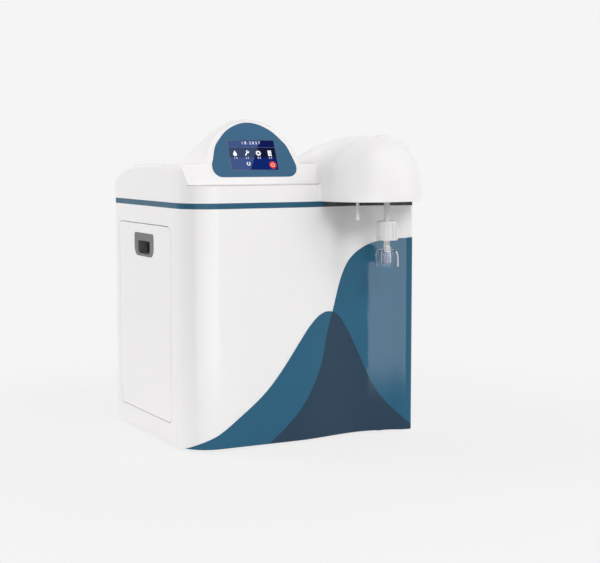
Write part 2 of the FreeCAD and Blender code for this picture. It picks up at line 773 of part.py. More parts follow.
# Doors with their pulls, hinge pins and catches
def pull_outline(grow):
    half = PULL_WIDTH / 2 + grow
    top = DOOR_HIGH - PULL_DROP + grow
    low = top - PULL_HEIGHT - 2 * grow
    foot = PULL_FOOT_RADIUS + grow
    crown = PULL_TOP_RADIUS + grow
    return rectangle(DOOR_MIDDLE - half, low, DOOR_MIDDLE + half, top), (foot, foot, crown, crown)


def pocket_outline(lift):
    half = POCKET_WIDTH / 2
    middle = DOOR_HIGH - PULL_DROP - PULL_HEIGHT / 2 - POCKET_DROP
    corners = rectangle(
        DOOR_MIDDLE - half, middle - POCKET_HEIGHT / 2, DOOR_MIDDLE + half, middle + POCKET_HEIGHT / 2 + lift)
    return corners, (POCKET_FOOT_RADIUS, POCKET_FOOT_RADIUS, POCKET_TOP_RADIUS, POCKET_TOP_RADIUS)


def make_door(name, side):
    blank = side_plate(side, door_corners(0), [DOOR_CORNER] * 4, 0, DOOR_DEPTH)
    pan = side_plate(
        side, door_corners(-DOOR_SKIN), [DOOR_CORNER - DOOR_SKIN] * 4, DOOR_SKIN, DOOR_DEPTH + OVERRUN)
    block_low = HINGE_LEVEL - HINGE_BLOCK / 2
    for y in (DOOR_FRONT, DOOR_REAR - HINGE_BLOCK):
        pan = pan.cut(side_box(side, 0, DOOR_DEPTH, y, y + HINGE_BLOCK, block_low, block_low + HINGE_BLOCK))
    door = blank.cut(pan)
    corners, radii = pull_outline(SEAT_GAP / 2)
    door = door.cut(side_plate(side, corners, radii, -OVERRUN, DOOR_SKIN + OVERRUN))
    axis_x = side * (WIDTH / 2 - HINGE_INSET)
    bore = PIN_RADIUS + RUNNING_GAP
    reach = PIN_GRIP + RUNNING_GAP
    door = door.cut(rod(bore, Vector(axis_x, DOOR_FRONT - OVERRUN, HINGE_LEVEL), Y_AXIS, reach + OVERRUN))
    door = door.cut(rod(bore, Vector(axis_x, DOOR_REAR - reach, HINGE_LEVEL), Y_AXIS, reach + OVERRUN))
    save(name + "_door", door)


def make_pull(name, side):
    corners, radii = pull_outline(0)
    flange_corners, flange_radii = pull_outline(PULL_FLANGE)
    pocket_corners, pocket_radii = pocket_outline(POCKET_LIFT)
    mouth_corners, mouth_radii = pocket_outline(0)
    plug = side_plate(side, corners, radii, 0, DOOR_SKIN)
    flange = side_plate(side, flange_corners, flange_radii, DOOR_SKIN, DOOR_SKIN + PULL_FLANGE_THICKNESS)
    cup_corners = rectangle(
        pocket_corners[0][0] - PULL_WALL, pocket_corners[0][1] - PULL_WALL,
        pocket_corners[2][0] + PULL_WALL, pocket_corners[2][1] + PULL_WALL)
    cup = side_plate(side, cup_corners, [r + PULL_WALL for r in pocket_radii], DOOR_SKIN, PULL_DEPTH)
    shelf = DOOR_SKIN + PULL_FLANGE_THICKNESS
    pull = join([plug, flange, cup])
    pull = pull.cut(side_plate(side, mouth_corners, mouth_radii, -OVERRUN, shelf))
    pull = pull.cut(side_plate(side, pocket_corners, pocket_radii, shelf, PULL_DEPTH - PULL_WALL))
    save(name + "_pull", pull)


def hinge_pins(side):
    axis_x = side * (WIDTH / 2 - HINGE_INSET)
    pins = []
    for (start, end), inside in zip(hinge_lug_spans(), (DOOR_FRONT + PIN_GRIP, DOOR_REAR - PIN_GRIP)):
        low = min(start, inside)
        high = max(end, inside)
        pins.append(rod(PIN_RADIUS, Vector(axis_x, low, HINGE_LEVEL), Y_AXIS, high - low))
    return pins


def make_magnets(name, side):
    top = DOOR_HIGH - DOOR_SKIN
    magnets = []
    for low, high in catch_spans():
        start = DOOR_DEPTH - MAGNET_DEPTH
        magnets.append(side_box(side, start, DOOR_DEPTH, low, high, top - MAGNET_HEIGHT, top))
    save(name + "_door_magnets", group(magnets))


def catch_spans():
    lows = [DOOR_MIDDLE + shift - MAGNET_LENGTH / 2 for shift in (-MAGNET_SPREAD, MAGNET_SPREAD)]
    return [(low, low + MAGNET_LENGTH) for low in lows]


def strikes(side):
    plates = []
    back = DOOR_DEPTH + SEAT_GAP
    top = DOOR_HIGH - DOOR_SKIN
    foot = DOOR_HIGH + DOOR_GAP + STRIKE_RISE
    for low, high in catch_spans():
        blade = side_box(
            side, back, back + STRIKE_THICKNESS, low, high, top - STRIKE_OVERLAP, foot + STRIKE_FOOT)
        block = side_box(side, WALL, back, low, high, foot, foot + STRIKE_FOOT)
        plates.append(join([blade, block]))
    return plates


# Base tray, feet, rear panel, divider
def make_tray():
    tray = plan_block(WALL, REAR - SHEET, BASE, BASE + TRAY_LIP)
    tray = tray.cut(plan_block(WALL + SHEET, REAR - 2 * SHEET, FLOOR, BASE + TRAY_LIP + OVERRUN))
    save("base_tray", tray)


def make_feet():
    feet = []
    for x in (LEFT + FOOT_INSET, RIGHT - FOOT_INSET):
        for y in (FRONT + FOOT_INSET, REAR - FOOT_INSET):
            feet.append(Part.makeCone(FOOT_RADIUS - FOOT_TAPER, FOOT_RADIUS, FOOT_HEIGHT, Vector(x, y, 0)))
    save("feet", group(feet))


def port_places():
    first = LEFT + PORT_MIDDLE_SHARE * WIDTH - (PORT_COUNT - 1) / 2 * PORT_PITCH
    return [Vector(first + index * PORT_PITCH, REAR, BASE + PORT_LEVEL) for index in range(PORT_COUNT)]


def inlet_place():
    return Vector(RIGHT - INLET_SIDE, REAR, BASE + INLET_LEVEL)


def switch_place():
    return inlet_place() + Vector(SWITCH_SPREAD, 0, 0)


def make_rear_panel():
    panel = box(Vector(LEFT + WALL, REAR - SHEET, BASE), Vector(RIGHT - WALL, REAR, SHELL_TOP))
    for place in port_places():
        panel = panel.cut(rod(PORT_HOLE, place - Y_AXIS * OVERRUN, Y_AXIS, OVERRUN * 2))
    inlet = inlet_place()
    switch = switch_place()
    back = REAR - OVERRUN
    ahead = REAR + OVERRUN
    grow = 2 * SEAT_GAP
    panel = panel.cut(rear_plate(
        inlet.x, inlet.z, INLET_WIDTH - 2 * INLET_CORNER + grow, INLET_HEIGHT - INLET_CORNER + grow, SEAT_GAP,
        back, ahead))
    across, up = SWITCH_WIDTH - 2 * SWITCH_RIM + grow, SWITCH_HEIGHT - 2 * SWITCH_RIM + grow
    panel = panel.cut(rear_plate(switch.x, switch.z, across, up, SEAT_GAP, back, ahead))
    for side in (-LOUVRE_SIDE, LOUVRE_SIDE):
        for index in range(LOUVRE_COUNT):
            level = BASE + LOUVRE_LEVEL + index * LOUVRE_PITCH
            panel = panel.cut(rear_plate(
                side, level, LOUVRE_LENGTH, LOUVRE_HEIGHT, LOUVRE_HEIGHT / 2 - SEAT_GAP, back, ahead))
    save("rear_panel", panel)


def make_rear_screws():
    screws = []
    for x in (LEFT + WALL + SCREW_EDGE, RIGHT - WALL - SCREW_EDGE):
        for index in range(SCREW_COUNT):
            level = BASE + TRAY_LIP + SCREW_EDGE + index * SCREW_PITCH
            screws.append(rod(SCREW_RADIUS, Vector(x, REAR, level), Y_AXIS, SCREW_HEAD))
    save("rear_screws", group(screws))


def make_divider():
    low_y = FRONT + DIVIDER_SETBACK
    high_y = REAR - SHEET
    web = box(Vector(-SHEET / 2, low_y, FLOOR), Vector(SHEET / 2, high_y, BAND_TOP))
    foot = box(
        Vector(-SHEET / 2, low_y, FLOOR), Vector(DIVIDER_FLANGE, high_y - 2 * SHEET, FLOOR + SHEET))
    rear = box(
        Vector(-SHEET / 2, high_y - SHEET, FLOOR + TRAY_LIP), Vector(DIVIDER_FLANGE, high_y, SHELL_TOP))
    rear_window = box(Vector(-SHEET, REAR - BAND_WIDTH, SHELL_TOP), Vector(SHEET, REAR, BAND_TOP))
    tray_window = box(Vector(-SHEET, high_y - SHEET, FLOOR), Vector(SHEET, high_y, FLOOR + TRAY_LIP))
    save("divider", join([web, foot, rear]).cut(rear_window).cut(tray_window))


# Cartridges and manifold
def cartridge_places():
    x = LEFT + CARTRIDGE_INSET
    return [Vector(x, DOOR_MIDDLE + shift * CARTRIDGE_PITCH, BASE + MANIFOLD_TOP) for shift in (-1, 0, 1)]


def sector(centre, radius, low, height, angle, turn):
    wedge = Part.makeCylinder(radius, height, centre + Z_AXIS * low, Z_AXIS, angle)
    wedge.rotate(centre, Z_AXIS, turn - angle / 2)
    return wedge


def make_manifold():
    places = cartridge_places()
    top = -MANIFOLD_BAR_HEIGHT
    mouth = top - HEAD_CUP_HEIGHT
    bar = box(
        places[0] + Vector(-MANIFOLD_BAR_HALF, -MANIFOLD_BAR_HALF, top),
        places[-1] + Vector(MANIFOLD_BAR_HALF, MANIFOLD_BAR_HALF, 0))
    cups = [rod(HEAD_CUP_RADIUS, place + Z_AXIS * mouth, Z_AXIS, HEAD_CUP_HEIGHT) for place in places]
    body = join([bar] + cups)
    groove = LIP_HEIGHT + LUG_HEIGHT + GROOVE_GAP
    for place in places:
        bore = NECK_RADIUS + RUNNING_GAP
        body = body.cut(rod(bore, place + Z_AXIS * mouth, Z_AXIS, NECK_LENGTH + GROOVE_GAP))
        channel = rod(
            NECK_RADIUS + LUG_REACH + GROOVE_GAP, place + Z_AXIS * (mouth + LIP_HEIGHT - GROOVE_GAP), Z_AXIS,
            LUG_HEIGHT + 2 * GROOVE_GAP)
        body = body.cut(channel)
        for turn in (90, 270):
            slot = sector(place, NECK_RADIUS + LUG_REACH + GROOVE_GAP, mouth, groove, SLOT_ANGLE, turn)
            body = body.cut(slot)
    save("cartridge_manifold", body)
    bracket_low = places[0] + Vector(-MANIFOLD_BAR_HALF, -MANIFOLD_BAR_HALF, 0)
    shelf = box(
        bracket_low, Vector(-SHEET / 2, places[-1].y + MANIFOLD_BAR_HALF, BASE + MANIFOLD_TOP + SHEET))
    upright = box(
        Vector(-SHEET / 2 - SHEET, bracket_low.y, BASE + MANIFOLD_TOP),
        Vector(-SHEET / 2, places[-1].y + MANIFOLD_BAR_HALF, BASE + MANIFOLD_TOP + BRACKET_HEIGHT))
    save("manifold_bracket", join([shelf, upright]))


def make_cartridge(name, place):
    mouth = -MANIFOLD_BAR_HEIGHT - HEAD_CUP_HEIGHT
    shoulder = mouth - GROOVE_GAP
    low = shoulder - CARTRIDGE_LENGTH
    round_off = NECK_RADIUS - NECK_CHAMFER
    profile = [
        (0, low), (CARTRIDGE_RADIUS - CARTRIDGE_DOME, low), (CARTRIDGE_RADIUS, low + CARTRIDGE_DOME),
        (CARTRIDGE_RADIUS, shoulder - CARTRIDGE_DOME), (CARTRIDGE_RADIUS - CARTRIDGE_DOME, shoulder),
        (NECK_RADIUS, shoulder), (NECK_RADIUS, mouth + NECK_LENGTH - NECK_CHAMFER),
        (round_off, mouth + NECK_LENGTH), (0, mouth + NECK_LENGTH)]
    body = turned(profile, place)
    ribs = []
    rib = box(
        Vector(CARTRIDGE_RADIUS - GRIP_RIB, -GRIP_RIB_WIDTH / 2, low + CARTRIDGE_DOME),
        Vector(CARTRIDGE_RADIUS + GRIP_RIB, GRIP_RIB_WIDTH / 2, low + CARTRIDGE_DOME + GRIP_HEIGHT))
    for index in range(GRIP_RIBS):
        copy = rib.copy()
        copy.rotate(Vector(0, 0, 0), Z_AXIS, index * 360 / GRIP_RIBS)
        copy.translate(place)
        ribs.append(copy)
    lugs = [
        sector(place, NECK_RADIUS + LUG_REACH, mouth + LIP_HEIGHT, LUG_HEIGHT, LUG_ANGLE, turn)
        for turn in (0, 180)]
    save(name, join([body] + ribs + lugs))


def make_cartridges():
    names = ("pretreatment_cartridge", "carbon_cartridge", "polishing_cartridge")
    for name, place in zip(names, cartridge_places()):
        make_cartridge(name, place)


# Membrane housings and their clips
def membrane_places():
    x = -SHEET / 2 - MEMBRANE_STANDOFF - MEMBRANE_RADIUS
    return [Vector(x, DOOR_MIDDLE + shift * CARTRIDGE_PITCH, FLOOR + MEMBRANE_FOOT) for shift in (-0.5, 0.5)]


def make_membranes():
    housings = []
    clips = []
    for place in membrane_places():
        rim = MEMBRANE_RADIUS + MEMBRANE_CAP_RIM
        top = MEMBRANE_LENGTH
        housings.append(turned([
            (0, -MEMBRANE_FOOT), (NECK_RADIUS, -MEMBRANE_FOOT), (NECK_RADIUS, 0), (rim, 0),
            (rim, MEMBRANE_CAP), (MEMBRANE_RADIUS, MEMBRANE_CAP), (MEMBRANE_RADIUS, top - MEMBRANE_CAP),
            (rim, top - MEMBRANE_CAP), (rim, top), (0, top)], place))
        for share in CLIP_SHARES:
            level = place + Z_AXIS * (share * MEMBRANE_LENGTH)
            band = pipe(MEMBRANE_RADIUS + CLIP_WALL, MEMBRANE_RADIUS, level, Z_AXIS, CLIP_HEIGHT)
            mouth = box(
                level + Vector(-2 * MEMBRANE_RADIUS, -MEMBRANE_RADIUS * CLIP_MOUTH_SHARE, -OVERRUN),
                level + Vector(0, MEMBRANE_RADIUS * CLIP_MOUTH_SHARE, CLIP_HEIGHT + OVERRUN))
            base = box(
                level + Vector(MEMBRANE_RADIUS, -MEMBRANE_STANDOFF, 0),
                Vector(-SHEET / 2, level.y + MEMBRANE_STANDOFF, level.z + CLIP_HEIGHT))
            clips.append(join([band.cut(mouth), base.cut(rod(MEMBRANE_RADIUS, level, Z_AXIS, CLIP_HEIGHT))]))
    save("membrane_housings", group(housings))
    save("membrane_clips", group(clips))


# Pumps: a motor, a round head with two ports and a foot on the tray
def make_pump(name, centre_x, start_y, scale):
    motor_radius = PUMP_MOTOR_RADIUS * scale
    head_radius = PUMP_HEAD_RADIUS * scale
    foot = PUMP_FOOT_HEIGHT * scale
    centre = Vector(centre_x, start_y, FLOOR + foot + head_radius)
    head_length = PUMP_HEAD_LENGTH * scale
    motor_length = PUMP_MOTOR_LENGTH * scale
    rim = PUMP_RIM * scale
    head = rod(head_radius, centre, Y_AXIS, head_length)
    ports = []
    for side in (-1, 1):
        port = centre + Vector(
            side * head_radius * PUMP_PORT_SPREAD_SHARE, head_length / 2, head_radius * PUMP_PORT_FOOT_SHARE)
        rise = PUMP_PORT_LENGTH + head_radius * (1 - PUMP_PORT_FOOT_SHARE)
        ports.append(rod(PUMP_PORT_RADIUS, port, Z_AXIS, rise))
    save(name + "_head", join([head] + ports))
    motor_start = centre + Y_AXIS * head_length
    motor = rod(motor_radius, motor_start, Y_AXIS, motor_length)
    end_ring = rod(motor_radius + rim / 2, motor_start + Y_AXIS * (motor_length - rim), Y_AXIS, rim)
    cradle = box(
        Vector(centre.x - motor_radius, motor_start.y + rim, FLOOR),
        Vector(centre.x + motor_radius, motor_start.y + motor_length - 2 * rim, centre.z))
    cradle = cradle.cut(rod(motor_radius, motor_start, Y_AXIS, motor_length))
    notch = box(
        Vector(centre.x - motor_radius * PUMP_NOTCH_SHARE, motor_start.y, FLOOR + SHEET),
        Vector(centre.x + motor_radius * PUMP_NOTCH_SHARE, motor_start.y + motor_length, FLOOR + foot))
    low_cut = box(
        Vector(centre.x - motor_radius, motor_start.y, centre.z - motor_radius * PUMP_CRADLE_SHARE),
        Vector(centre.x + motor_radius, motor_start.y + motor_length, centre.z))
    save(name + "_motor", join([motor, end_ring]))
    save(name + "_foot", cradle.cut(notch).cut(low_cut))


def make_pumps():
    start = DOOR_FRONT
    make_pump("booster_pump", RIGHT - BOOSTER_INSET, start, 1)
    second = start + PUMP_HEAD_LENGTH + PUMP_MOTOR_LENGTH + PUMP_RIM
    make_pump("circulation_pump", RIGHT - BOOSTER_INSET + CIRCULATION_SHIFT, second, CIRCULATION_SHARE)


# Lamp housing, valves, board, supply and sensor
def make_lamp():
    place = Vector(SHEET / 2 + LAMP_STANDOFF + LAMP_RADIUS, FRONT + LAMP_SETBACK, FLOOR + LAMP_FOOT)
    rim = LAMP_RADIUS + LAMP_CAP_RIM
    tube = turned([
        (0, 0), (rim, 0), (rim, LAMP_CAP), (LAMP_RADIUS, LAMP_CAP), (LAMP_RADIUS, LAMP_LENGTH - LAMP_CAP),
        (rim, LAMP_LENGTH - LAMP_CAP), (rim, LAMP_LENGTH), (0, LAMP_LENGTH)], place)
    ports = []
    for level in (2 * LAMP_CAP, LAMP_LENGTH - 2 * LAMP_CAP):
        start = place + Vector(0, 0, level)
        ports.append(rod(LAMP_PORT_RADIUS, start, X_AXIS, LAMP_RADIUS + LAMP_PORT_LENGTH))
    save("lamp_housing", join([tube] + ports))
    clamps = []
    for share in CLIP_SHARES:
        level = place + Z_AXIS * (share * LAMP_LENGTH)
        band = pipe(LAMP_RADIUS + CLIP_WALL, LAMP_RADIUS, level, Z_AXIS, CLIP_HEIGHT)
        base = box(
            Vector(SHEET / 2, level.y - LAMP_STANDOFF, level.z),
            level + Vector(-LAMP_RADIUS, LAMP_STANDOFF, CLIP_HEIGHT))
        clamps.append(join([band, base]))
    save("lamp_clamps", group(clamps))


def make_valves():
    valves = []
    for index in range(2):
        low = Vector(SHEET / 2, FRONT + VALVE_SETBACK, BASE + VALVE_LEVEL + index * VALVE_PITCH)
        foot = box(low, low + Vector(VALVE_STANDOFF, VALVE_WIDTH, VALVE_HEIGHT))
        middle = low + Vector(VALVE_STANDOFF + VALVE_WIDTH / 2, 0, VALVE_HEIGHT / 2)
        body = box(
            low + Vector(VALVE_STANDOFF, (VALVE_WIDTH - VALVE_LENGTH) / 2, 0),
            low + Vector(VALVE_STANDOFF + VALVE_WIDTH, (VALVE_WIDTH + VALVE_LENGTH) / 2, VALVE_HEIGHT))
        coil_start = middle + Vector(0, VALVE_WIDTH / 2, VALVE_HEIGHT / 2)
        coil = rod(VALVE_COIL_RADIUS, coil_start, Z_AXIS, VALVE_COIL_LENGTH)
        valves.append(join([foot, body, coil]))
    save("solenoid_valves", group(valves))


def make_board():
    low = Vector(SHEET / 2 + BOARD_STANDOFF, FRONT + BOARD_SETBACK, BASE + BOARD_LEVEL)
    board = box(low, low + Vector(BOARD_THICKNESS, BOARD_WIDTH, BOARD_HEIGHT))
    chips = []
    for y, z, width, height in CHIP_SHARES:
        start = low + Vector(BOARD_THICKNESS, y * BOARD_WIDTH, z * BOARD_HEIGHT)
        chips.append(box(start, start + Vector(CHIP_HEIGHT, width * BOARD_WIDTH, height * BOARD_HEIGHT)))
    save("control_board", join([board] + chips))
    posts = []
    for y in (STANDOFF_INSET, BOARD_WIDTH - STANDOFF_INSET):
        for z in (STANDOFF_INSET, BOARD_HEIGHT - STANDOFF_INSET):
            start = Vector(SHEET / 2, low.y + y, low.z + z)
            posts.append(rod(STANDOFF_RADIUS, start, X_AXIS, BOARD_STANDOFF))
    save("board_standoffs", group(posts))


def make_supply():
    low = Vector(SHEET / 2, FRONT + SUPPLY_SETBACK, BASE + SUPPLY_LEVEL)
    case = box(low, low + Vector(SUPPLY_DEPTH, SUPPLY_LENGTH, SUPPLY_HEIGHT))
    width, height = SUPPLY_SLOT_SHARES
    pitch = SUPPLY_LENGTH / (SUPPLY_SLOTS + 2)
    for index in range(SUPPLY_SLOTS):
        start = low + Vector(
            SUPPLY_DEPTH - SHEET, (index + 1) * pitch, SUPPLY_HEIGHT * SUPPLY_SLOT_FOOT_SHARE)
        case = case.cut(box(start, start + Vector(SHEET, width * SUPPLY_LENGTH, height * SUPPLY_HEIGHT)))
    save("power_supply", case)


def make_sensor():
    place = Vector(-SHEET / 2 - SENSOR_TEE, FRONT + LAMP_SETBACK, BASE + SENSOR_LEVEL)
    tee = rod(SENSOR_TEE, place - Y_AXIS * (SENSOR_TEE_LENGTH / 2), Y_AXIS, SENSOR_TEE_LENGTH)
    probe_end = place - X_AXIS * (2 * SENSOR_TEE)
    probe = rod(SENSOR_RADIUS, probe_end - X_AXIS * SENSOR_LENGTH, X_AXIS, SENSOR_LENGTH)
    neck = rod(SENSOR_TEE / 2, probe_end, X_AXIS, 2 * SENSOR_TEE)
    save("conductivity_cell", join([tee, probe, neck]))


# Rear ports with their release collets, the mains inlet and the rocker switch
def make_ports():
    bodies = []
    nuts = []
    names = ("feed", "tank", "product", "drain")
    for name, place in zip(names, port_places()):
        tail = rod(PORT_RADIUS, place - Y_AXIS * PORT_TAIL, Y_AXIS, PORT_TAIL)
        flange = rod(PORT_FLANGE, place, Y_AXIS, PORT_FLANGE_THICKNESS)
        barrel = rod(PORT_RADIUS + PORT_BARREL_STEP, place, Y_AXIS, PORT_REACH - COLLET_PROUD)
        mouth = place + Y_AXIS * (PORT_REACH - COLLET_PROUD)
        bore = rod(COLLET_RADIUS + RUNNING_GAP, mouth - Y_AXIS * COLLET_LENGTH, Y_AXIS, COLLET_LENGTH)
        way = rod(COLLET_BORE, place - Y_AXIS * PORT_TAIL, Y_AXIS, PORT_TAIL + PORT_REACH)
        bodies.append(join([tail, flange, barrel]).cut(bore).cut(way))
        back = place - Y_AXIS * (SHEET + PORT_NUT_THICKNESS)
        corners = []
        for index in range(6):
            angle = math.radians(60 * index)
            corners.append(back + Vector(PORT_FLANGE * math.cos(angle), 0, PORT_FLANGE * math.sin(angle)))
        blank = Part.Face(Part.makePolygon(corners + corners[:1])).extrude(Y_AXIS * PORT_NUT_THICKNESS)
        nuts.append(blank.cut(rod(PORT_RADIUS, back, Y_AXIS, PORT_NUT_THICKNESS)))
        sleeve_start = mouth - Y_AXIS * (COLLET_LENGTH - COLLET_PROUD)
        sleeve = rod(COLLET_RADIUS, sleeve_start, Y_AXIS, COLLET_LENGTH)
        rim_start = mouth + Y_AXIS * (COLLET_PROUD - COLLET_RIM_THICKNESS)
        rim = rod(COLLET_RIM, rim_start, Y_AXIS, COLLET_RIM_THICKNESS)
        hole = rod(COLLET_BORE, sleeve_start, Y_AXIS, COLLET_LENGTH)
        save(name + "_collet", join([sleeve, rim]).cut(hole))
    save("port_bodies", group(bodies))
    save("port_nuts", group(nuts))


def make_inlet():
    place = inlet_place()
    rim = rear_plate(place.x, place.z, INLET_WIDTH, INLET_HEIGHT, INLET_CORNER, REAR, REAR + INLET_RIM)
    body = rear_plate(
        place.x, place.z, INLET_WIDTH - 2 * INLET_CORNER, INLET_HEIGHT - INLET_CORNER, SEAT_GAP,
        REAR - INLET_DEPTH, REAR)
    floor = REAR + INLET_RIM - INLET_SOCKET_DEPTH
    socket = rear_plate(
        place.x, place.z, INLET_SOCKET_WIDTH, INLET_SOCKET_HEIGHT, INLET_CORNER / 2, floor, REAR + OVERRUN)
    inlet = join([rim, body]).cut(socket)
    blades = []
    for x, z in ((-BLADE_SPREAD, -BLADE_WIDTH), (0, BLADE_WIDTH), (BLADE_SPREAD, -BLADE_WIDTH)):
        start = Vector(place.x + x - BLADE_WIDTH / 2, floor, place.z + z - BLADE_HEIGHT / 2)
        blades.append(box(start, start + Vector(BLADE_WIDTH, BLADE_LENGTH, BLADE_HEIGHT)))
    save("mains_inlet", join([inlet] + blades))


def make_switch():
    place = switch_place()
    rim = rear_plate(place.x, place.z, SWITCH_WIDTH, SWITCH_HEIGHT, SWITCH_RIM, REAR, REAR + SWITCH_RIM)
    width = SWITCH_WIDTH - 2 * SWITCH_RIM
    height = SWITCH_HEIGHT - 2 * SWITCH_RIM
    body = rear_plate(place.x, place.z, width, height, SEAT_GAP, REAR - SWITCH_DEPTH, REAR)
    well_width = SWITCH_WIDTH - 2 * SWITCH_FRAME
    well_height = SWITCH_HEIGHT - 2 * SWITCH_FRAME
    well = rear_plate(
        place.x, place.z, well_width, well_height, SEAT_GAP, REAR - SWITCH_DEPTH + SWITCH_RIM, REAR + OVERRUN)
    pivot = Vector(place.x, REAR - ROCKER_PIN_DEPTH, place.z)
    pin_start = pivot - X_AXIS * (width / 2)
    pivot_bore = rod(ROCKER_PIN_RADIUS + RUNNING_GAP, pin_start, X_AXIS, width)
    save("switch_frame", join([rim, body]).cut(well).cut(pivot_bore))
    half = well_height / 2 - SWITCH_GAP
    crest = ROCKER_PROUD + ROCKER_PIN_DEPTH
    tip = half * math.tan(math.radians(ROCKER_TILT))
    low = ROCKER_PIN_RADIUS * 2
    x = place.x - well_width / 2 + SWITCH_GAP

    def place_at(out, up):
        turned_out = out * math.cos(tilt) - up * math.sin(tilt)
        turned_up = out * math.sin(tilt) + up * math.cos(tilt)
        return Vector(x, pivot.y + turned_out, pivot.z + turned_up)

    tilt = math.radians(ROCKER_TILT)
    crown = half - crest * math.sin(tilt)
    corners = [
        place_at(-low, -low), place_at(low, -crown), place_at(crest, -crown), place_at(crest - tip, 0),
        place_at(crest, crown), place_at(low, crown), place_at(-low, low)]
    section = Part.Face(Part.makePolygon(corners + corners[:1]))
    rocker = section.extrude(X_AXIS * (well_width - 2 * SWITCH_GAP))
    trunnion = rod(ROCKER_PIN_RADIUS, pin_start + X_AXIS * SWITCH_GAP / 2, X_AXIS, width - SWITCH_GAP)
    save("power_rocker", join([rocker, trunnion]))


# Outlets under the head
def make_outlets():
    filter_place, tube_place = outlet_places()
    plate_top = HEAD_PLATE
    tip = -STEM_LENGTH
    profile = [(STEM_BORE, tip - NIPPLE_LENGTH), (NIPPLE_RADIUS, tip - NIPPLE_LENGTH), (NIPPLE_RADIUS, tip)]
    ring = STEM_LENGTH / (2 * STEM_RINGS)
    for index in range(STEM_RINGS):
        low = tip + 2 * index * ring
        profile += [(STEM_RADIUS, low), (STEM_RADIUS, low + ring)]
        profile += [(STEM_RADIUS - STEM_RELIEF, low + ring), (STEM_RADIUS - STEM_RELIEF, low + 2 * ring)]
    profile += [
        (STEM_RADIUS, 0), (STEM_RADIUS, plate_top), (STEM_FLANGE, plate_top),
        (STEM_FLANGE, plate_top + STEM_FLANGE_THICKNESS), (STEM_BORE, plate_top + STEM_FLANGE_THICKNESS)]
    save("outlet_stem", turned(profile, filter_place))
    end = -TUBE_LENGTH
    tube = turned([
        (TUBE_BORE, end), (TUBE_BEAD - TUBE_BORE / 2, end), (TUBE_BEAD, end + TUBE_BORE / 2),
        (TUBE_BEAD, end + TUBE_BEAD), (TUBE_RADIUS, end + TUBE_BEAD + TUBE_BORE), (TUBE_RADIUS, plate_top),
        (STEM_FLANGE, plate_top), (STEM_FLANGE, plate_top + STEM_FLANGE_THICKNESS),
        (TUBE_BORE, plate_top + STEM_FLANGE_THICKNESS)], tube_place)
    save("product_tube", tube)

    cap_top = tip - SEAT_GAP
    cap_low = cap_top - CAP_HEIGHT
    skirt_low = cap_low - SKIRT_HEIGHT
    barb_low = skirt_low - BARB_LENGTH
    socket = NIPPLE_RADIUS + RUNNING_GAP
    socket_low = cap_top - NIPPLE_LENGTH - SEAT_GAP
    step = BARB_LENGTH / (BARB_STEPS + 1)
    profile = [
        (STEM_BORE, barb_low), (BARB_RADIUS - BARB_RELIEF, barb_low)]
    for index in range(BARB_STEPS):
        profile.append((BARB_RADIUS, barb_low + step * (index + 1) - step / 4))
        profile.append((BARB_RADIUS - BARB_RELIEF, barb_low + step * (index + 1)))
    profile += [
        (BARB_RADIUS, skirt_low), (SKIRT_RADIUS, skirt_low), (SKIRT_RADIUS, cap_low),
        (CAP_RADIUS, cap_low), (CAP_RADIUS, cap_top - CAP_ROUND), (CAP_RADIUS - CAP_ROUND, cap_top),
        (socket, cap_top), (socket, socket_low), (STEM_BORE, socket_low)]
    capsule = turned(profile, filter_place)
    ribs = []
    rib = box(
        Vector(CAP_RADIUS - CAP_RIB, -CAP_RIB_WIDTH / 2, cap_low),
        Vector(CAP_RADIUS + CAP_RIB, CAP_RIB_WIDTH / 2, cap_top - 2 * CAP_ROUND))
    for index in range(CAP_RIBS):
        copy = rib.copy()
        copy.rotate(Vector(0, 0, 0), Z_AXIS, index * 360 / CAP_RIBS)
        copy.translate(filter_place)
        ribs.append(copy)
    save("outlet_filter", join([capsule] + ribs))

    neck_top = barb_low + BELL_GRIP
    neck_low = neck_top - BELL_NECK_HEIGHT
    rim_low = neck_top - BELL_HEIGHT
    nozzle_low = rim_low + NOZZLE_LIFT
    shoulder_low = neck_low - BELL_SHOULDER
    bore = BARB_RADIUS + RUNNING_GAP
    inner_roof = neck_low - BELL_WALL
    bell = turned([
        (bore, neck_top), (bore, barb_low - SEAT_GAP), (NOZZLE_BORE, barb_low - SEAT_GAP),
        (NOZZLE_BORE, nozzle_low), (NOZZLE_RADIUS, nozzle_low), (NOZZLE_RADIUS, inner_roof),
        (BELL_RADIUS - BELL_WALL * 3, inner_roof - BELL_WALL),
        (BELL_RADIUS - BELL_WALL, shoulder_low), (BELL_RADIUS - BELL_WALL, rim_low), (BELL_RADIUS, rim_low),
        (BELL_RADIUS, shoulder_low), (BELL_RADIUS - BELL_WALL * 2, neck_low - BELL_WALL),
        (BELL_NECK + BELL_WALL, neck_low),
        (BELL_NECK, neck_top - BELL_WALL), (BELL_NECK, neck_top)], filter_place)
    save("outlet_bell", bell)

    block_low = Vector(filter_place.x, filter_place.y, BAND_TOP + plate_top + STEM_FLANGE_THICKNESS)
    half = VALVE_BLOCK / 2
    block = box(block_low - Vector(half, half, 0), block_low + Vector(half, half, VALVE_BLOCK_HEIGHT))
    coil = rod(VALVE_COIL_RADIUS, block_low + Z_AXIS * VALVE_BLOCK_HEIGHT, Z_AXIS, VALVE_COIL_LENGTH)
    save("dispense_valve", join([block, coil]))


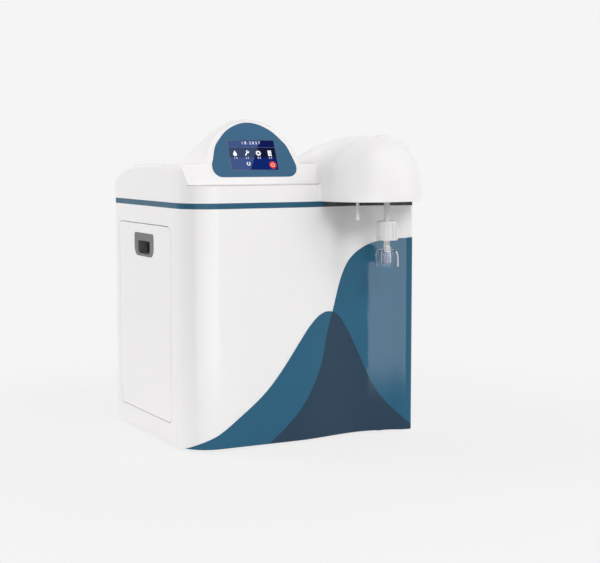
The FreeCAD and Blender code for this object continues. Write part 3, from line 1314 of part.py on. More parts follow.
make_front_shell()
make_band()
make_deck()
make_top_cover()
make_head_plate()
make_panel()
make_films()
for side_name, side_sign in SIDES:
    make_door(side_name, side_sign)
    make_pull(side_name, side_sign)
    make_magnets(side_name, side_sign)
save("hinge_pins", group([pin for _, side_sign in SIDES for pin in hinge_pins(side_sign)]))
save("door_strikes", group([plate for _, side_sign in SIDES for plate in strikes(side_sign)]))
make_tray()
make_feet()
make_rear_panel()
make_rear_screws()
make_divider()
make_manifold()
make_cartridges()
make_membranes()
make_pumps()
make_lamp()
make_valves()
make_board()
make_supply()
make_sensor()
make_ports()
make_inlet()
make_switch()
make_outlets()
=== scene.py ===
import json
import math

import bmesh
import bpy
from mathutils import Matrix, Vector


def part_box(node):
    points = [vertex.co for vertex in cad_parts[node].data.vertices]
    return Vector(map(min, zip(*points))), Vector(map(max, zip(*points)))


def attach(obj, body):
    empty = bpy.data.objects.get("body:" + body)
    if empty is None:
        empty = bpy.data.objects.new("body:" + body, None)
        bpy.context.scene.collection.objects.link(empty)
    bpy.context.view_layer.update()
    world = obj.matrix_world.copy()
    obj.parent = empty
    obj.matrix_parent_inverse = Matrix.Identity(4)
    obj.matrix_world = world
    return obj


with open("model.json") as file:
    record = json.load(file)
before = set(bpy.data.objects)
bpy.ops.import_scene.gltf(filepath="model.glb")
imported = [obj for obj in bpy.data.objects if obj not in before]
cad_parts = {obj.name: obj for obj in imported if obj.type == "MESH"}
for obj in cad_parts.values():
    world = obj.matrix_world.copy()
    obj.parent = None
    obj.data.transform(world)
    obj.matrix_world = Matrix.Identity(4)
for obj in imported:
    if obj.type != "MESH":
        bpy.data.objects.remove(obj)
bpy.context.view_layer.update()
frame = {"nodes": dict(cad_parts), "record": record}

bl_info = {
    "name": "Ultrapure water system",
    "version": (1, 0, 0),
    "blender": (4, 5, 0),
    "location": "View3D > Sidebar > Water",
    "description": "Finishes, screen picture and studio for a bench-top water system",
    "category": "Object",
}

MM = 0.001
NODE_SLOT = {row["node"]: row["material_slot"] for row in frame["record"]["subparts"]}

# The screen glass leans back by the slope
SLOPE = math.radians(22.5)
GLASS_THICKNESS = 2.2 * MM

# Heights over the glass of the picture's layers, lowest and highest, in millimetres
LAYERS = {
    "picture": (0, 0.04), "shade": (0.04, 0.06), "header": (0.06, 0.08), "field": (0.08, 0.1),
    "line": (0.1, 0.14), "symbols": (0.1, 0.16), "mark": (0.16, 0.2)}
FIGURE_LEVEL = 0.16 * MM
FIGURE_DEPTH = 0.02 * MM

# Places and sizes on the screen, across from its middle and up from its foot
SYMBOL_PLACES = (-34.5 * MM, -11.5 * MM, 11.5 * MM, 34 * MM)
SYMBOL_SIZE = 10.5 * MM
ROW_FOOT = 8 * MM
LINE_HEIGHT = 0.5 * MM
# Slanted edge of the painted reflection on the glass
SLANT_FOOT, SLANT_LEAN = -9.5 * MM, 0.5
READING_HEIGHT = 7.6 * MM
READING_SHARE = 0.52
READING_RISE = 1.4 * MM
NUMBER_HEIGHT = 5 * MM
NUMBER_LEVEL = 23 * MM
LOOP_PLACE = (-11.3 * MM, 12.3 * MM)
LOOP_RADII = (3.6 * MM, 2.3 * MM)
POWER_PLACE = (36.2 * MM, 9.4 * MM)
POWER_RADIUS = 6.9 * MM
POWER_RING = (3.6 * MM, 2.6 * MM)
POWER_BAR = (0.4 * MM, 4.2 * MM)

# Painted shade: a dark plate on the floor of a pull's pocket where its shadow falls, placed from the pull's top edge
# and its outer face
POCKET_MIDDLE = 30.5 * MM
POCKET_HALF = 28.4 * MM
POCKET_LOW, POCKET_HIGH = -11.5 * MM, 21.5 * MM
POCKET_FOOT_RADIUS, POCKET_TOP_RADIUS = 8.6 * MM, 2.8 * MM
PLATE_NEAR, PLATE_FAR = 17.6 * MM, 17.9 * MM

# Skins of painted shade laid over the band under the head and along the collar
FRONT_FACING = -0.3
SKIN_GAP = 0.02 * MM
SHADE_STRIP_DEPTH = 0.25 * MM
SHADE_STRIP_END = 3 * MM
# Grey line of painted shade along the collar's top edge
SHADE_LINE_DEPTH = 0.1 * MM
SHADE_LINE_DROP = (1.9 * MM, 0.9 * MM)
SHADE_LINE_START, SHADE_LINE_END = 4 * MM, 30 * MM

# Insert in the bell's nozzle: radius, and height over the bell's foot
INSERT = ((4.6 * MM, 6.4 * MM), (6.2 * MM, 7.4 * MM), (6.2 * MM, 24 * MM), (5.4 * MM, 25 * MM))

# Louvre hoods on the rear, and crosses of painted shade in the screw heads
HOOD_HALF = 44 * MM
HOOD_COLUMNS = (-110 * MM, 110 * MM)
HOOD_COUNT, HOOD_PITCH, HOOD_LEVEL = 7, 12 * MM, 276 * MM
SCREW_RADIUS = 3.4 * MM
SCREW_COUNT, SCREW_PITCH = 4, 128 * MM
CROSS_DEPTH = 0.05 * MM

# Noise lies between these values almost everywhere
NOISE_LOW, NOISE_HIGH = 0.3, 0.7

# Floor, and the distances from the object over which it fades into the backdrop
FLOOR_REACH = 6.0
FADE_START, FADE_END = 0.45, 1.1

# Strength of the walls' light by direction, from 0 straight down to 1 straight up
WALL_BANDS = ((0, 0.43), (0.48, 0.43), (0.52, 0), (0.68, 0), (0.72, 0.97), (0.85, 0.97), (0.89, 0))

# Power of the high card as a share of the low one's
HIGH_CARD_SHARE = 0.138

# Camera, fitted to the cabinet's edges in the photograph
CAMERA_PLACE = (-1.12895, -2.27537, 0.52984)
CAMERA_DOWN = math.radians(5.58)
CAMERA_ROUND = math.radians(-27.7)
FOCAL_PIXELS = 1352
PICTURE_PIXELS = 600
SENSOR_WIDTH = 36


def linear(value):
    """One sRGB channel, 0 to 255, as linear light."""
    share = value / 255
    return share / 12.92 if share <= 0.04045 else ((share + 0.055) / 1.055) ** 2.4


def tone(red, green, blue):
    """An sRGB colour, 0 to 255, as linear light."""
    return tuple(linear(channel) for channel in (red, green, blue))


# Sizes and colours that a user would change
class WaterFinishes(bpy.types.PropertyGroup):
    white: bpy.props.FloatVectorProperty(
        name="White moulding", description="Colour of the white shells", subtype="COLOR", default=tone(246, 244, 244))
    band: bpy.props.FloatVectorProperty(
        name="Band", description="Colour of the ring under the cover", subtype="COLOR", default=tone(24, 84, 112))
    panel: bpy.props.FloatVectorProperty(
        name="Control panel", description="Colour of the arched panel", subtype="COLOR", default=tone(50, 98, 132))
    film: bpy.props.FloatVectorProperty(
        name="Printed film", description="Colour of the hill and the swell", subtype="COLOR", default=tone(18, 92, 124))
    overlap: bpy.props.FloatVectorProperty(
        name="Film overlap", description="Colour where hill and swell overlap", subtype="COLOR",
        default=tone(16, 56, 80))
    pull: bpy.props.FloatVectorProperty(
        name="Finger pull", description="Colour of the grey door pulls", subtype="COLOR", default=tone(112, 111, 111))
    collar: bpy.props.FloatProperty(
        name="Collar", description="Height of the collar over the band", subtype="DISTANCE", default=32 * MM)
    # Painted shadow: where the dark strip standing for the head's shadow on the band begins
    shade_start: bpy.props.FloatProperty(
        name="Seal's start", description="Where the dark seal under the head begins across", subtype="DISTANCE",
        default=48 * MM)
    grain: bpy.props.FloatProperty(
        name="Mould grain", description="Relief of the moulded surfaces", default=0.004, min=0, max=1)


class WaterScreen(bpy.types.PropertyGroup):
    picture: bpy.props.FloatVectorProperty(
        name="Picture", description="Colour of the lit screen", subtype="COLOR", default=tone(2, 30, 100))
    shade: bpy.props.FloatVectorProperty(
        name="Row shade", description="Colour behind the row of symbols", subtype="COLOR", default=tone(8, 16, 46))
    header: bpy.props.FloatVectorProperty(
        name="Header", description="Colour of the bar along the top", subtype="COLOR", default=tone(6, 20, 82))
    # Painted reflection: the lighter field left of the slant
    reflection_colour: bpy.props.FloatVectorProperty(
        name="Lighter field", description="Colour of the field left of the slant", subtype="COLOR",
        default=tone(58, 78, 126))
    power: bpy.props.FloatVectorProperty(
        name="Power symbol", description="Colour of the round symbol", subtype="COLOR", default=tone(214, 58, 46))
    header_height: bpy.props.FloatProperty(
        name="Header height", description="Height of the bar along the top", subtype="DISTANCE", default=12.6 * MM)
    border: bpy.props.FloatProperty(
        name="Border", description="Dark edge round the picture", subtype="DISTANCE", default=0.7 * MM)
    row: bpy.props.FloatProperty(
        name="Symbol row", description="Height of the row of symbols", subtype="DISTANCE", default=32 * MM)


class WaterRear(bpy.types.PropertyGroup):
    hood_reach: bpy.props.FloatProperty(
        name="Hood reach", description="How far a louvre hood stands out", subtype="DISTANCE", default=2.2 * MM)
    slot_length: bpy.props.FloatProperty(
        name="Screw slot", description="Length of each arm of a screw's cross", subtype="DISTANCE", default=3.6 * MM)
    slot_width: bpy.props.FloatProperty(
        name="Screw slot width", description="Width of each arm", subtype="DISTANCE", default=0.8 * MM)


class WaterStudio(bpy.types.PropertyGroup):
    ambient: bpy.props.FloatProperty(
        name="Ambient", description="Strength of the light from the walls all round", default=1.0, min=0)
    right_high: bpy.props.FloatProperty(
        name="High right light", description="Power of the high light at the front right", default=10.6, min=0)
    right_low: bpy.props.FloatProperty(
        name="Low right light", description="Power of the low light at the front right", default=10, min=0)
    front: bpy.props.FloatProperty(name="Front light", description="Power of the high front light", default=19.5, min=0)
    left: bpy.props.FloatProperty(name="Left light", description="Power of the front left light", default=12.5, min=0)
    back_left: bpy.props.FloatProperty(
        name="Back left light", description="Power of the light behind on the left", default=21, min=0)
    back_right: bpy.props.FloatProperty(
        name="Back right light", description="Power of the light behind on the right", default=10.5, min=0)
    top: bpy.props.FloatProperty(name="Top light", description="Power of the light above the rear", default=7, min=0)
    card: bpy.props.FloatProperty(
        name="Reflectors", description="Power of the cards that only gloss shows", default=43, min=0)
    shadow: bpy.props.FloatProperty(
        name="Shadow", description="How strongly the floor shows the object's shadow", default=0.12, min=0, max=1)
    backdrop: bpy.props.FloatVectorProperty(
        name="Backdrop", description="Colour behind the object", subtype="COLOR", default=tone(245, 245, 245))
    floor: bpy.props.FloatVectorProperty(
        name="Floor", description="Colour of the floor", subtype="COLOR", default=tone(243, 243, 243))


# Material building; scales are in features per metre
def new_material(name):
    """A material with its shader, and the object's own coordinates."""
    material = bpy.data.materials.new(name)
    material.use_nodes = True
    tree = material.node_tree
    shader = next(node for node in tree.nodes if node.type == "BSDF_PRINCIPLED")
    place = tree.nodes.new("ShaderNodeTexCoord")
    return material, tree, shader, place.outputs["Object"]


def noise(tree, place, scale, detail=2.0, stretch=None):
    """Noise at features per metre, drawn out along an axis where stretch is given."""
    if stretch:
        mapping = tree.nodes.new("ShaderNodeMapping")
        mapping.inputs["Scale"].default_value = stretch
        tree.links.new(place, mapping.inputs["Vector"])
        place = mapping.outputs["Vector"]
    node = tree.nodes.new("ShaderNodeTexNoise")
    node.inputs["Scale"].default_value = scale
    node.inputs["Detail"].default_value = detail
    tree.links.new(place, node.inputs["Vector"])
    return node.outputs["Fac"]


def spread(tree, factor, low, high):
    """The noise as a value between low and high."""
    node = tree.nodes.new("ShaderNodeMapRange")
    node.inputs["From Min"].default_value = NOISE_LOW
    node.inputs["From Max"].default_value = NOISE_HIGH
    node.inputs["To Min"].default_value = low
    node.inputs["To Max"].default_value = high
    tree.links.new(factor, node.inputs["Value"])
    return node.outputs["Result"]


def tint(tree, factor, colour, change):
    """The colour, a little darker where the factor is low."""
    node = tree.nodes.new("ShaderNodeMix")
    node.data_type = "RGBA"
    node.inputs["A"].default_value = (*(channel * (1 - change) for channel in colour), 1)
    node.inputs["B"].default_value = (*colour, 1)
    tree.links.new(factor, node.inputs["Factor"])
    return node.outputs["Result"]


def relief(tree, shader, factor, strength, depth):
    """Fine bumps that follow the factor."""
    node = tree.nodes.new("ShaderNodeBump")
    node.inputs["Strength"].default_value = strength
    node.inputs["Distance"].default_value = depth
    tree.links.new(factor, node.inputs["Height"])
    tree.links.new(node.outputs["Normal"], shader.inputs["Normal"])


def moulded(name, colour, roughness, grain, scale=2600, change=0.03, gloss=0.5, uneven=0.045):
    """Moulded plastic: fine grain, faint shade differences and uneven gloss."""
    material, tree, shader, place = new_material(name)
    broad = noise(tree, place, 9)
    tree.links.new(tint(tree, broad, colour, change), shader.inputs["Base Color"])
    patches = spread(tree, noise(tree, place, 60), roughness - uneven, roughness + uneven)
    tree.links.new(patches, shader.inputs["Roughness"])
    relief(tree, shader, noise(tree, place, scale), grain, 0.0002)
    shader.inputs["Specular IOR Level"].default_value = gloss
    return material


def printed_film(name, colour):
    """Glossy film with the slight waviness of a laid skin."""
    material, tree, shader, place = new_material(name)
    tree.links.new(tint(tree, noise(tree, place, 5), colour, 0.06), shader.inputs["Base Color"])
    tree.links.new(spread(tree, noise(tree, place, 40), 0.07, 0.11), shader.inputs["Roughness"])
    relief(tree, shader, noise(tree, place, 12), 0.02, 0.0002)
    shader.inputs["Specular IOR Level"].default_value = 0.4
    return material


def brushed(name, colour, roughness, stretch):
    """Brushed metal, with its lines along the axis of the smallest stretch."""
    material, tree, shader, place = new_material(name)
    lines = noise(tree, place, 900, 3, stretch)
    tree.links.new(tint(tree, lines, colour, 0.2), shader.inputs["Base Color"])
    tree.links.new(spread(tree, lines, roughness - 0.08, roughness + 0.1), shader.inputs["Roughness"])
    relief(tree, shader, lines, 0.12, 0.0001)
    shader.inputs["Metallic"].default_value = 1.0
    return material


def coated_sheet(name, colour):
    """Powder-coated sheet with an orange-peel surface."""
    material, tree, shader, place = new_material(name)
    tree.links.new(tint(tree, noise(tree, place, 14), colour, 0.05), shader.inputs["Base Color"])
    tree.links.new(spread(tree, noise(tree, place, 300), 0.42, 0.56), shader.inputs["Roughness"])
    relief(tree, shader, noise(tree, place, 900), 0.12, 0.0002)
    return material


def clear_moulding(name, colour):
    """Clear plastic with faint flow marks and an uneven gloss."""
    material, tree, shader, place = new_material(name)
    shader.inputs["Transmission Weight"].default_value = 1.0
    shader.inputs["IOR"].default_value = 1.24
    tree.links.new(tint(tree, noise(tree, place, 90), colour, 0.06), shader.inputs["Base Color"])
    tree.links.new(spread(tree, noise(tree, place, 200), 0.0, 0.04), shader.inputs["Roughness"])
    relief(tree, shader, noise(tree, place, 160), 0.05, 0.0003)
    return material


def frosted(name, colour):
    """Milky plastic that lets a little light through."""
    material, tree, shader, place = new_material(name)
    tree.links.new(tint(tree, noise(tree, place, 120), colour, 0.08), shader.inputs["Base Color"])
    tree.links.new(spread(tree, noise(tree, place, 300), 0.3, 0.4), shader.inputs["Roughness"])
    relief(tree, shader, noise(tree, place, 900), 0.05, 0.0001)
    shader.inputs["Transmission Weight"].default_value = 0.35
    return material


def screen_cover(name):
    """Dark glass under a clear coat."""
    material, tree, shader, place = new_material(name)
    tree.links.new(tint(tree, noise(tree, place, 20), tone(14, 20, 60), 0.2), shader.inputs["Base Color"])
    tree.links.new(spread(tree, noise(tree, place, 120), 0.06, 0.12), shader.inputs["Roughness"])
    shader.inputs["Coat Weight"].default_value = 0.6
    return material


def lit(name, colour, strength):
    """A lit part of the screen: its own colour, dimmer at places, under a glossy face."""
    material, tree, shader, place = new_material(name)
    shade = tint(tree, noise(tree, place, 45), colour, 0.15)
    tree.links.new(shade, shader.inputs["Base Color"])
    tree.links.new(shade, shader.inputs["Emission Color"])
    shader.inputs["Emission Strength"].default_value = strength
    shader.inputs["Specular IOR Level"].default_value = 0.03
    tree.links.new(spread(tree, noise(tree, place, 150), 0.1, 0.18), shader.inputs["Roughness"])
    return material


def circuit_board(name):
    """Solder mask with a hint of copper tracks under it."""
    material, tree, shader, place = new_material(name)
    tracks = noise(tree, place, 260, 0, (0.1, 1, 1))
    tree.links.new(tint(tree, tracks, tone(28, 98, 62), 0.5), shader.inputs["Base Color"])
    tree.links.new(spread(tree, tracks, 0.3, 0.45), shader.inputs["Roughness"])
    relief(tree, shader, tracks, 0.2, 0.0001)
    return material


def seen_rays(tree):
    """One for rays of the camera, gloss and clear parts, and nought for the rest."""
    path = tree.nodes.new("ShaderNodeLightPath")
    total = path.outputs["Is Camera Ray"]
    for name in ("Is Glossy Ray", "Is Transmission Ray"):
        most = tree.nodes.new("ShaderNodeMath")
        most.operation = "MAXIMUM"
        tree.links.new(total, most.inputs[0])
        tree.links.new(path.outputs[name], most.inputs[1])
        total = most.outputs["Value"]
    return total


def slot_material(slot, finishes):
    """The finish for one of the record's material slots."""
    grain = finishes.grain
    makers = {
        "white": lambda: moulded("white_moulding", finishes.white, 0.22, grain, change=0.01, gloss=0.4, uneven=0.008),
        "blue_band": lambda: moulded("blue_band", finishes.band, 0.34, grain, change=0.1, gloss=0.3),
        "blue_panel": lambda: moulded("blue_panel", finishes.panel, 0.42, grain, change=0.06, gloss=0.25),
        "screen": lambda: screen_cover("screen_cover"),
        "module": lambda: moulded("module_black", tone(40, 41, 43), 0.5, grain),
        "film_blue": lambda: printed_film("film_blue", finishes.film),
        "film_navy": lambda: printed_film("film_navy", finishes.overlap),
        "grey_plastic": lambda: moulded("pull_grey", finishes.pull, 0.5, 2 * grain, 1500, 0.08),
        "black_plastic": lambda: moulded("black_plastic", tone(34, 34, 36), 0.45, 2 * grain, 1500, 0.1),
        "rocker": lambda: moulded("rocker_black", tone(26, 26, 28), 0.22, grain, change=0.1),
        "rubber": lambda: moulded("foot_rubber", tone(38, 38, 39), 0.75, 4 * grain, 900, 0.15),
        "sheet_steel": lambda: coated_sheet("coated_steel", tone(214, 214, 212)),
        "bright_steel": lambda: brushed("bright_steel", tone(196, 197, 200), 0.28, (1, 1, 0.03)),
        "fitting_white": lambda: moulded("fitting_white", tone(230, 230, 229), 0.36, grain, 1800, gloss=0.3),
        "clear_plastic": lambda: clear_moulding("clear_plastic", tone(250, 251, 254)),
        "fitting_grey": lambda: moulded("fitting_grey", tone(132, 134, 138), 0.42, grain, 1500, 0.08),
        "collet": lambda: moulded("collet_grey", tone(176, 177, 180), 0.38, grain, 1500, 0.06),
        "circuit": lambda: circuit_board("solder_mask"),
    }
    return makers[slot]()


def finish_slots(slots):
    """Gives every CAD node in these slots its finish, one shared material for each slot."""
    finishes = bpy.context.scene.water_finishes
    for slot in slots:
        nodes = [frame["nodes"][name] for name, own in NODE_SLOT.items() if own == slot]
        material = slot_material(slot, finishes)
        for node in nodes:
            if not node.material_slots:
                node.data.materials.append(material)
            for place in node.material_slots:
                place.material = material


def mesh_piece(name, mesh, material, body="cabinet"):
    """A finished piece at the origin, riding on its body."""
    piece = bpy.data.objects.new(name, mesh)
    bpy.context.scene.collection.objects.link(piece)
    mesh.materials.clear()
    mesh.materials.append(material)
    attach(piece, body)
    return piece


def closed_mesh(shape, name, triangles=False):
    """The shape as a mesh with its faces turned outwards."""
    bmesh.ops.recalc_face_normals(shape, faces=shape.faces)
    if triangles:
        bmesh.ops.triangulate(shape, faces=shape.faces)
    mesh = bpy.data.meshes.new(name)
    shape.to_mesh(mesh)
    shape.free()
    return mesh


def plate(shape, lower, upper):
    """Closes the space between two rings of corners: both ends and the wall between them."""
    shape.faces.new(upper)
    shape.faces.new(lower[::-1])
    wall(shape, lower, upper)


def wall(shape, lower, upper):
    """The faces between two rings of corners."""
    corners = zip(lower, lower[1:] + lower[:1], upper[1:] + upper[:1], upper)
    return [shape.faces.new(corner) for corner in corners]


# The screen's picture
def screen_frame():
    """Foot middle of the glass's face, its width and its height up the slope."""
    low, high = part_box("screen_glass")
    foot = Vector(((low.x + high.x) / 2, low.y, low.z + GLASS_THICKNESS * math.sin(SLOPE)))
    height = (high.z - foot.z) / math.cos(SLOPE)
    return foot, high.x - low.x, height


def on_screen(across, up, out):
    """The point at a place on the glass, so far out from its face."""
    foot = screen_frame()[0]
    lean = Vector((0, math.sin(SLOPE), math.cos(SLOPE)))
    outward = Vector((0, -math.cos(SLOPE), math.sin(SLOPE)))
    return foot + Vector((across, 0, 0)) + lean * up + outward * out


def slab(outlines, layer):
    """Flat plates on the screen, from (across, up) outlines, in one of the picture's layers."""
    low, high = (height * MM for height in LAYERS[layer])
    shape = bmesh.new()
    for outline in outlines:
        plate(
            shape, [shape.verts.new(on_screen(u, v, low)) for u, v in outline],
            [shape.verts.new(on_screen(u, v, high)) for u, v in outline])
    return closed_mesh(shape, "plates", triangles=True)


def block(u_low, v_low, u_high, v_high):
    return [(u_low, v_low), (u_high, v_low), (u_high, v_high), (u_low, v_high)]


def disc(u, v, radius, sides=32):
    turns = [2 * math.pi * index / sides for index in range(sides)]
    return [(u + radius * math.cos(turn), v + radius * math.sin(turn)) for turn in turns]


def ring_parts(u, v, outer, inner, sides=28, start=0.0, share=1.0):
    """A ring, or an arc of one, as short pieces."""
    parts = []
    for index in range(round(sides * share)):
        a, b = (start + 2 * math.pi * step / sides for step in (index, index + 1))
        corners = ((outer, a), (outer, b), (inner, b), (inner, a))
        parts.append([(u + radius * math.cos(turn), v + radius * math.sin(turn)) for radius, turn in corners])
    return parts


def slanted(left, low, high):
    """Outline of the painted reflection, from the left edge to the slanted one, between two heights."""
    low_end, high_end = (SLANT_FOOT + SLANT_LEAN * up for up in (low, high))
    return [(left, low), (low_end, low), (high_end, high), (left, high)]


def droplet(u, v, size):
    """A drop: round below and pointed at the top."""
    radius = 0.34 * size
    low = v - 0.16 * size
    turns = [math.radians(150 + 240 * index / 20) for index in range(21)]
    return [[(u + radius * math.cos(turn), low + radius * math.sin(turn)) for turn in turns] + [(u, v + 0.5 * size)]]


def spanner(u, v, size):
    """A slanted bar with a forked end; the bars' numbers are shares of the size."""
    way = Vector((math.cos(math.radians(52)), math.sin(math.radians(52))))
    side = Vector((-way.y, way.x))
    middle = Vector((u, v))

    def bar(start, end, shift, half):
        ends = (middle + way * start * size + side * shift * size, middle + way * end * size + side * shift * size)
        return [tuple(ends[0] - side * half * size), tuple(ends[1] - side * half * size),
                tuple(ends[1] + side * half * size), tuple(ends[0] + side * half * size)]

    return [bar(-0.5, 0.2, 0, 0.1), bar(0.2, 0.34, 0, 0.26), bar(0.34, 0.56, 0.19, 0.07), bar(0.34, 0.56, -0.19, 0.07)]


def gear(u, v, size):
    """A ring with eight teeth."""
    parts = ring_parts(u, v, 0.38 * size, 0.2 * size)
    for index in range(8):
        turn = math.pi * index / 4
        way = Vector((math.cos(turn), math.sin(turn)))
        side = Vector((-way.y, way.x)) * 0.08 * size
        near = Vector((u, v)) + way * 0.39 * size
        far = Vector((u, v)) + way * 0.5 * size
        parts.append([tuple(near - side), tuple(far - side), tuple(far + side), tuple(near + side)])
    return parts


def sheet_symbol(u, v, size):
    """A page with three lines left open."""
    half = 0.34 * size
    parts = []
    for index in range(4):
        low = v - 0.5 * size + index * 0.26 * size
        parts.append(block(u - half, low, u + half, low + 0.19 * size))
    parts.append(block(u - half, v - 0.5 * size, u - half + 0.1 * size, v + 0.47 * size))
    return parts


def digits(text, u, v, height):
    """Plain figures, laid on the screen."""
    curve = bpy.data.curves.new("figures", "FONT")
    curve.body = text
    curve.align_x = "CENTER"
    curve.align_y = "CENTER"
    curve.size = height
    curve.extrude = FIGURE_DEPTH
    holder = bpy.data.objects.new("figures", curve)
    bpy.context.scene.collection.objects.link(holder)
    bpy.context.view_layer.update()
    mesh = bpy.data.meshes.new_from_object(holder.evaluated_get(bpy.context.evaluated_depsgraph_get()))
    bpy.data.objects.remove(holder)
    for vertex in mesh.vertices:
        vertex.co = on_screen(u + vertex.co.x, v + vertex.co.y, FIGURE_LEVEL + vertex.co.z)
    return mesh


def merged(meshes):
    """Several meshes as one, each kept as it is."""
    shape = bmesh.new()
    for mesh in meshes:
        shape.from_mesh(mesh)
    whole = bpy.data.meshes.new("merged")
    shape.to_mesh(whole)
    shape.free()
    return whole


# What repeats is laid out by a small node tree
def repeat_tree(name, columns, start):
    """A tree that sets copies of the given mesh in upright rows, and its inputs' identifiers."""
    tree = bpy.data.node_groups.new(name, "GeometryNodeTree")
    tree.interface.new_socket("Geometry", in_out="INPUT", socket_type="NodeSocketGeometry")
    material = tree.interface.new_socket("Material", in_out="INPUT", socket_type="NodeSocketMaterial")
    rows = tree.interface.new_socket("Count", in_out="INPUT", socket_type="NodeSocketInt")
    step = tree.interface.new_socket("Pitch", in_out="INPUT", socket_type="NodeSocketFloat")
    tree.interface.new_socket("Geometry", in_out="OUTPUT", socket_type="NodeSocketGeometry")
    source = tree.nodes.new("NodeGroupInput")
    offset = tree.nodes.new("ShaderNodeCombineXYZ")
    gather = tree.nodes.new("GeometryNodeJoinGeometry")
    tree.links.new(source.outputs["Pitch"], offset.inputs["Z"])
    for x in columns:
        line = tree.nodes.new("GeometryNodeMeshLine")
        line.inputs["Start Location"].default_value = (x, start.y, start.z)
        tree.links.new(source.outputs["Count"], line.inputs["Count"])
        tree.links.new(offset.outputs["Vector"], line.inputs["Offset"])
        tree.links.new(line.outputs["Mesh"], gather.inputs["Geometry"])
    copies = tree.nodes.new("GeometryNodeInstanceOnPoints")
    solid = tree.nodes.new("GeometryNodeRealizeInstances")
    painted = tree.nodes.new("GeometryNodeSetMaterial")
    out = tree.nodes.new("NodeGroupOutput")
    tree.links.new(gather.outputs["Geometry"], copies.inputs["Points"])
    tree.links.new(source.outputs["Geometry"], copies.inputs["Instance"])
    tree.links.new(copies.outputs["Instances"], solid.inputs["Geometry"])
    tree.links.new(solid.outputs["Geometry"], painted.inputs["Geometry"])
    tree.links.new(source.outputs["Material"], painted.inputs["Material"])
    tree.links.new(painted.outputs["Geometry"], out.inputs["Geometry"])
    return tree, [socket.identifier for socket in (material, rows, step)]


def repeated(name, unit, columns, count, pitch, start, material):
    """Copies of the unit mesh in rows up the rear, as one plain mesh."""
    tree, identifiers = repeat_tree(name, columns, start)
    holder = bpy.data.objects.new(name + "_maker", unit)
    bpy.context.scene.collection.objects.link(holder)
    modifier = holder.modifiers.new("rows", "NODES")
    modifier.node_group = tree
    for identifier, value in zip(identifiers, (material, count, pitch)):
        modifier[identifier] = value
    bpy.context.view_layer.update()
    mesh = bpy.data.meshes.new_from_object(holder.evaluated_get(bpy.context.evaluated_depsgraph_get()))
    bpy.data.objects.remove(holder)
    return mesh_piece(name, mesh, material)


def front_skin(node, low, high, gap, depth):
    """A thin skin in front of a node's foremost faces, between two corners given as (x, z)."""
    shape = bmesh.new()
    shape.from_mesh(frame["nodes"][node].data)
    bmesh.ops.remove_doubles(shape, verts=shape.verts, dist=0.001 * MM)
    for axis, level, way in ((0, low[0], -1), (0, high[0], 1), (2, low[1], -1), (2, high[1], 1)):
        place, normal = Vector(), Vector()
        place[axis], normal[axis] = level, way
        whole = shape.verts[:] + shape.edges[:] + shape.faces[:]
        bmesh.ops.bisect_plane(shape, geom=whole, plane_co=place, plane_no=normal, clear_outer=True)
    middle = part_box(node)[0].y / 2
    away = [face for face in shape.faces if face.normal.y > FRONT_FACING or face.calc_center_median().y > middle]
    bmesh.ops.delete(shape, geom=away, context="FACES")
    made = bmesh.ops.extrude_face_region(shape, geom=shape.faces[:], use_keep_orig=True)["geom"]
    outer = [part for part in made if isinstance(part, bmesh.types.BMVert)]
    for vertex in shape.verts:
        vertex.co.y -= gap
    for vertex in outer:
        vertex.co.y -= depth
    return closed_mesh(shape, "skin", triangles=True)


def pocket_shade_plate(node, inward):
    """A thin dark plate of painted shade on the floor of a pull's pocket; inward is 1 for the left pull and -1 for the
    right one.
    """
    low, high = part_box(node)
    face = low.x if inward > 0 else high.x
    middle = Vector(((low.y + high.y) / 2, high.z - POCKET_MIDDLE))
    corners = (
        (POCKET_HALF, POCKET_LOW, POCKET_FOOT_RADIUS, 270), (POCKET_HALF, POCKET_HIGH, POCKET_TOP_RADIUS, 0),
        (-POCKET_HALF, POCKET_HIGH, POCKET_TOP_RADIUS, 90), (-POCKET_HALF, POCKET_LOW, POCKET_FOOT_RADIUS, 180))
    outline = []
    for across, up, radius, start in corners:
        centre = middle + Vector((across - math.copysign(radius, across), up - math.copysign(radius, up)))
        for step in range(7):
            turn = math.radians(start + 15 * step)
            outline.append(centre + radius * Vector((math.cos(turn), math.sin(turn))))
    shape = bmesh.new()
    near, far = (
        [shape.verts.new((face + inward * depth, point.x, point.y)) for point in outline]
        for depth in (PLATE_NEAR, PLATE_FAR))
    plate(shape, near, far)
    return closed_mesh(shape, "shade_plate", triangles=True)


def turned(sections, centre, sides=32):
    """A closed round piece from (radius, height) sections, lowest first, each end closed by a flat."""
    shape = bmesh.new()
    rings = []
    for radius, height in sections:
        turns = [2 * math.pi * index / sides for index in range(sides)]
        rings.append([shape.verts.new((
            centre[0] + radius * math.cos(turn), centre[1] + radius * math.sin(turn), height)) for turn in turns])
    for lower, upper in zip(rings, rings[1:]):
        for face in wall(shape, lower, upper):
            face.smooth = True
    shape.faces.new(rings[0][::-1])
    shape.faces.new(rings[-1])
    return closed_mesh(shape, "turned")


def boxes_mesh(boxes):
    """Closed boxes from their low and high corners."""
    shape = bmesh.new()
    for low, high in boxes:
        made = bmesh.ops.create_cube(shape, size=1)["verts"]
        for vertex in made:
            vertex.co = Vector(
                low[axis] + (vertex.co[axis] + 0.5) * (high[axis] - low[axis]) for axis in range(3))
    return closed_mesh(shape, "boxes")


def hood_mesh(half, reach):
    """A louvre hood: a lip that leans out over its slot, closed at both ends."""
    shape = bmesh.new()
    section = [(0, 4.2 * MM), (reach, 1.2 * MM), (reach, 0.4 * MM), (0, 3.4 * MM)]
    left, right = ([shape.verts.new((x, y, z)) for y, z in section] for x in (-half, half))
    plate(shape, left, right)
    return closed_mesh(shape, "hood")


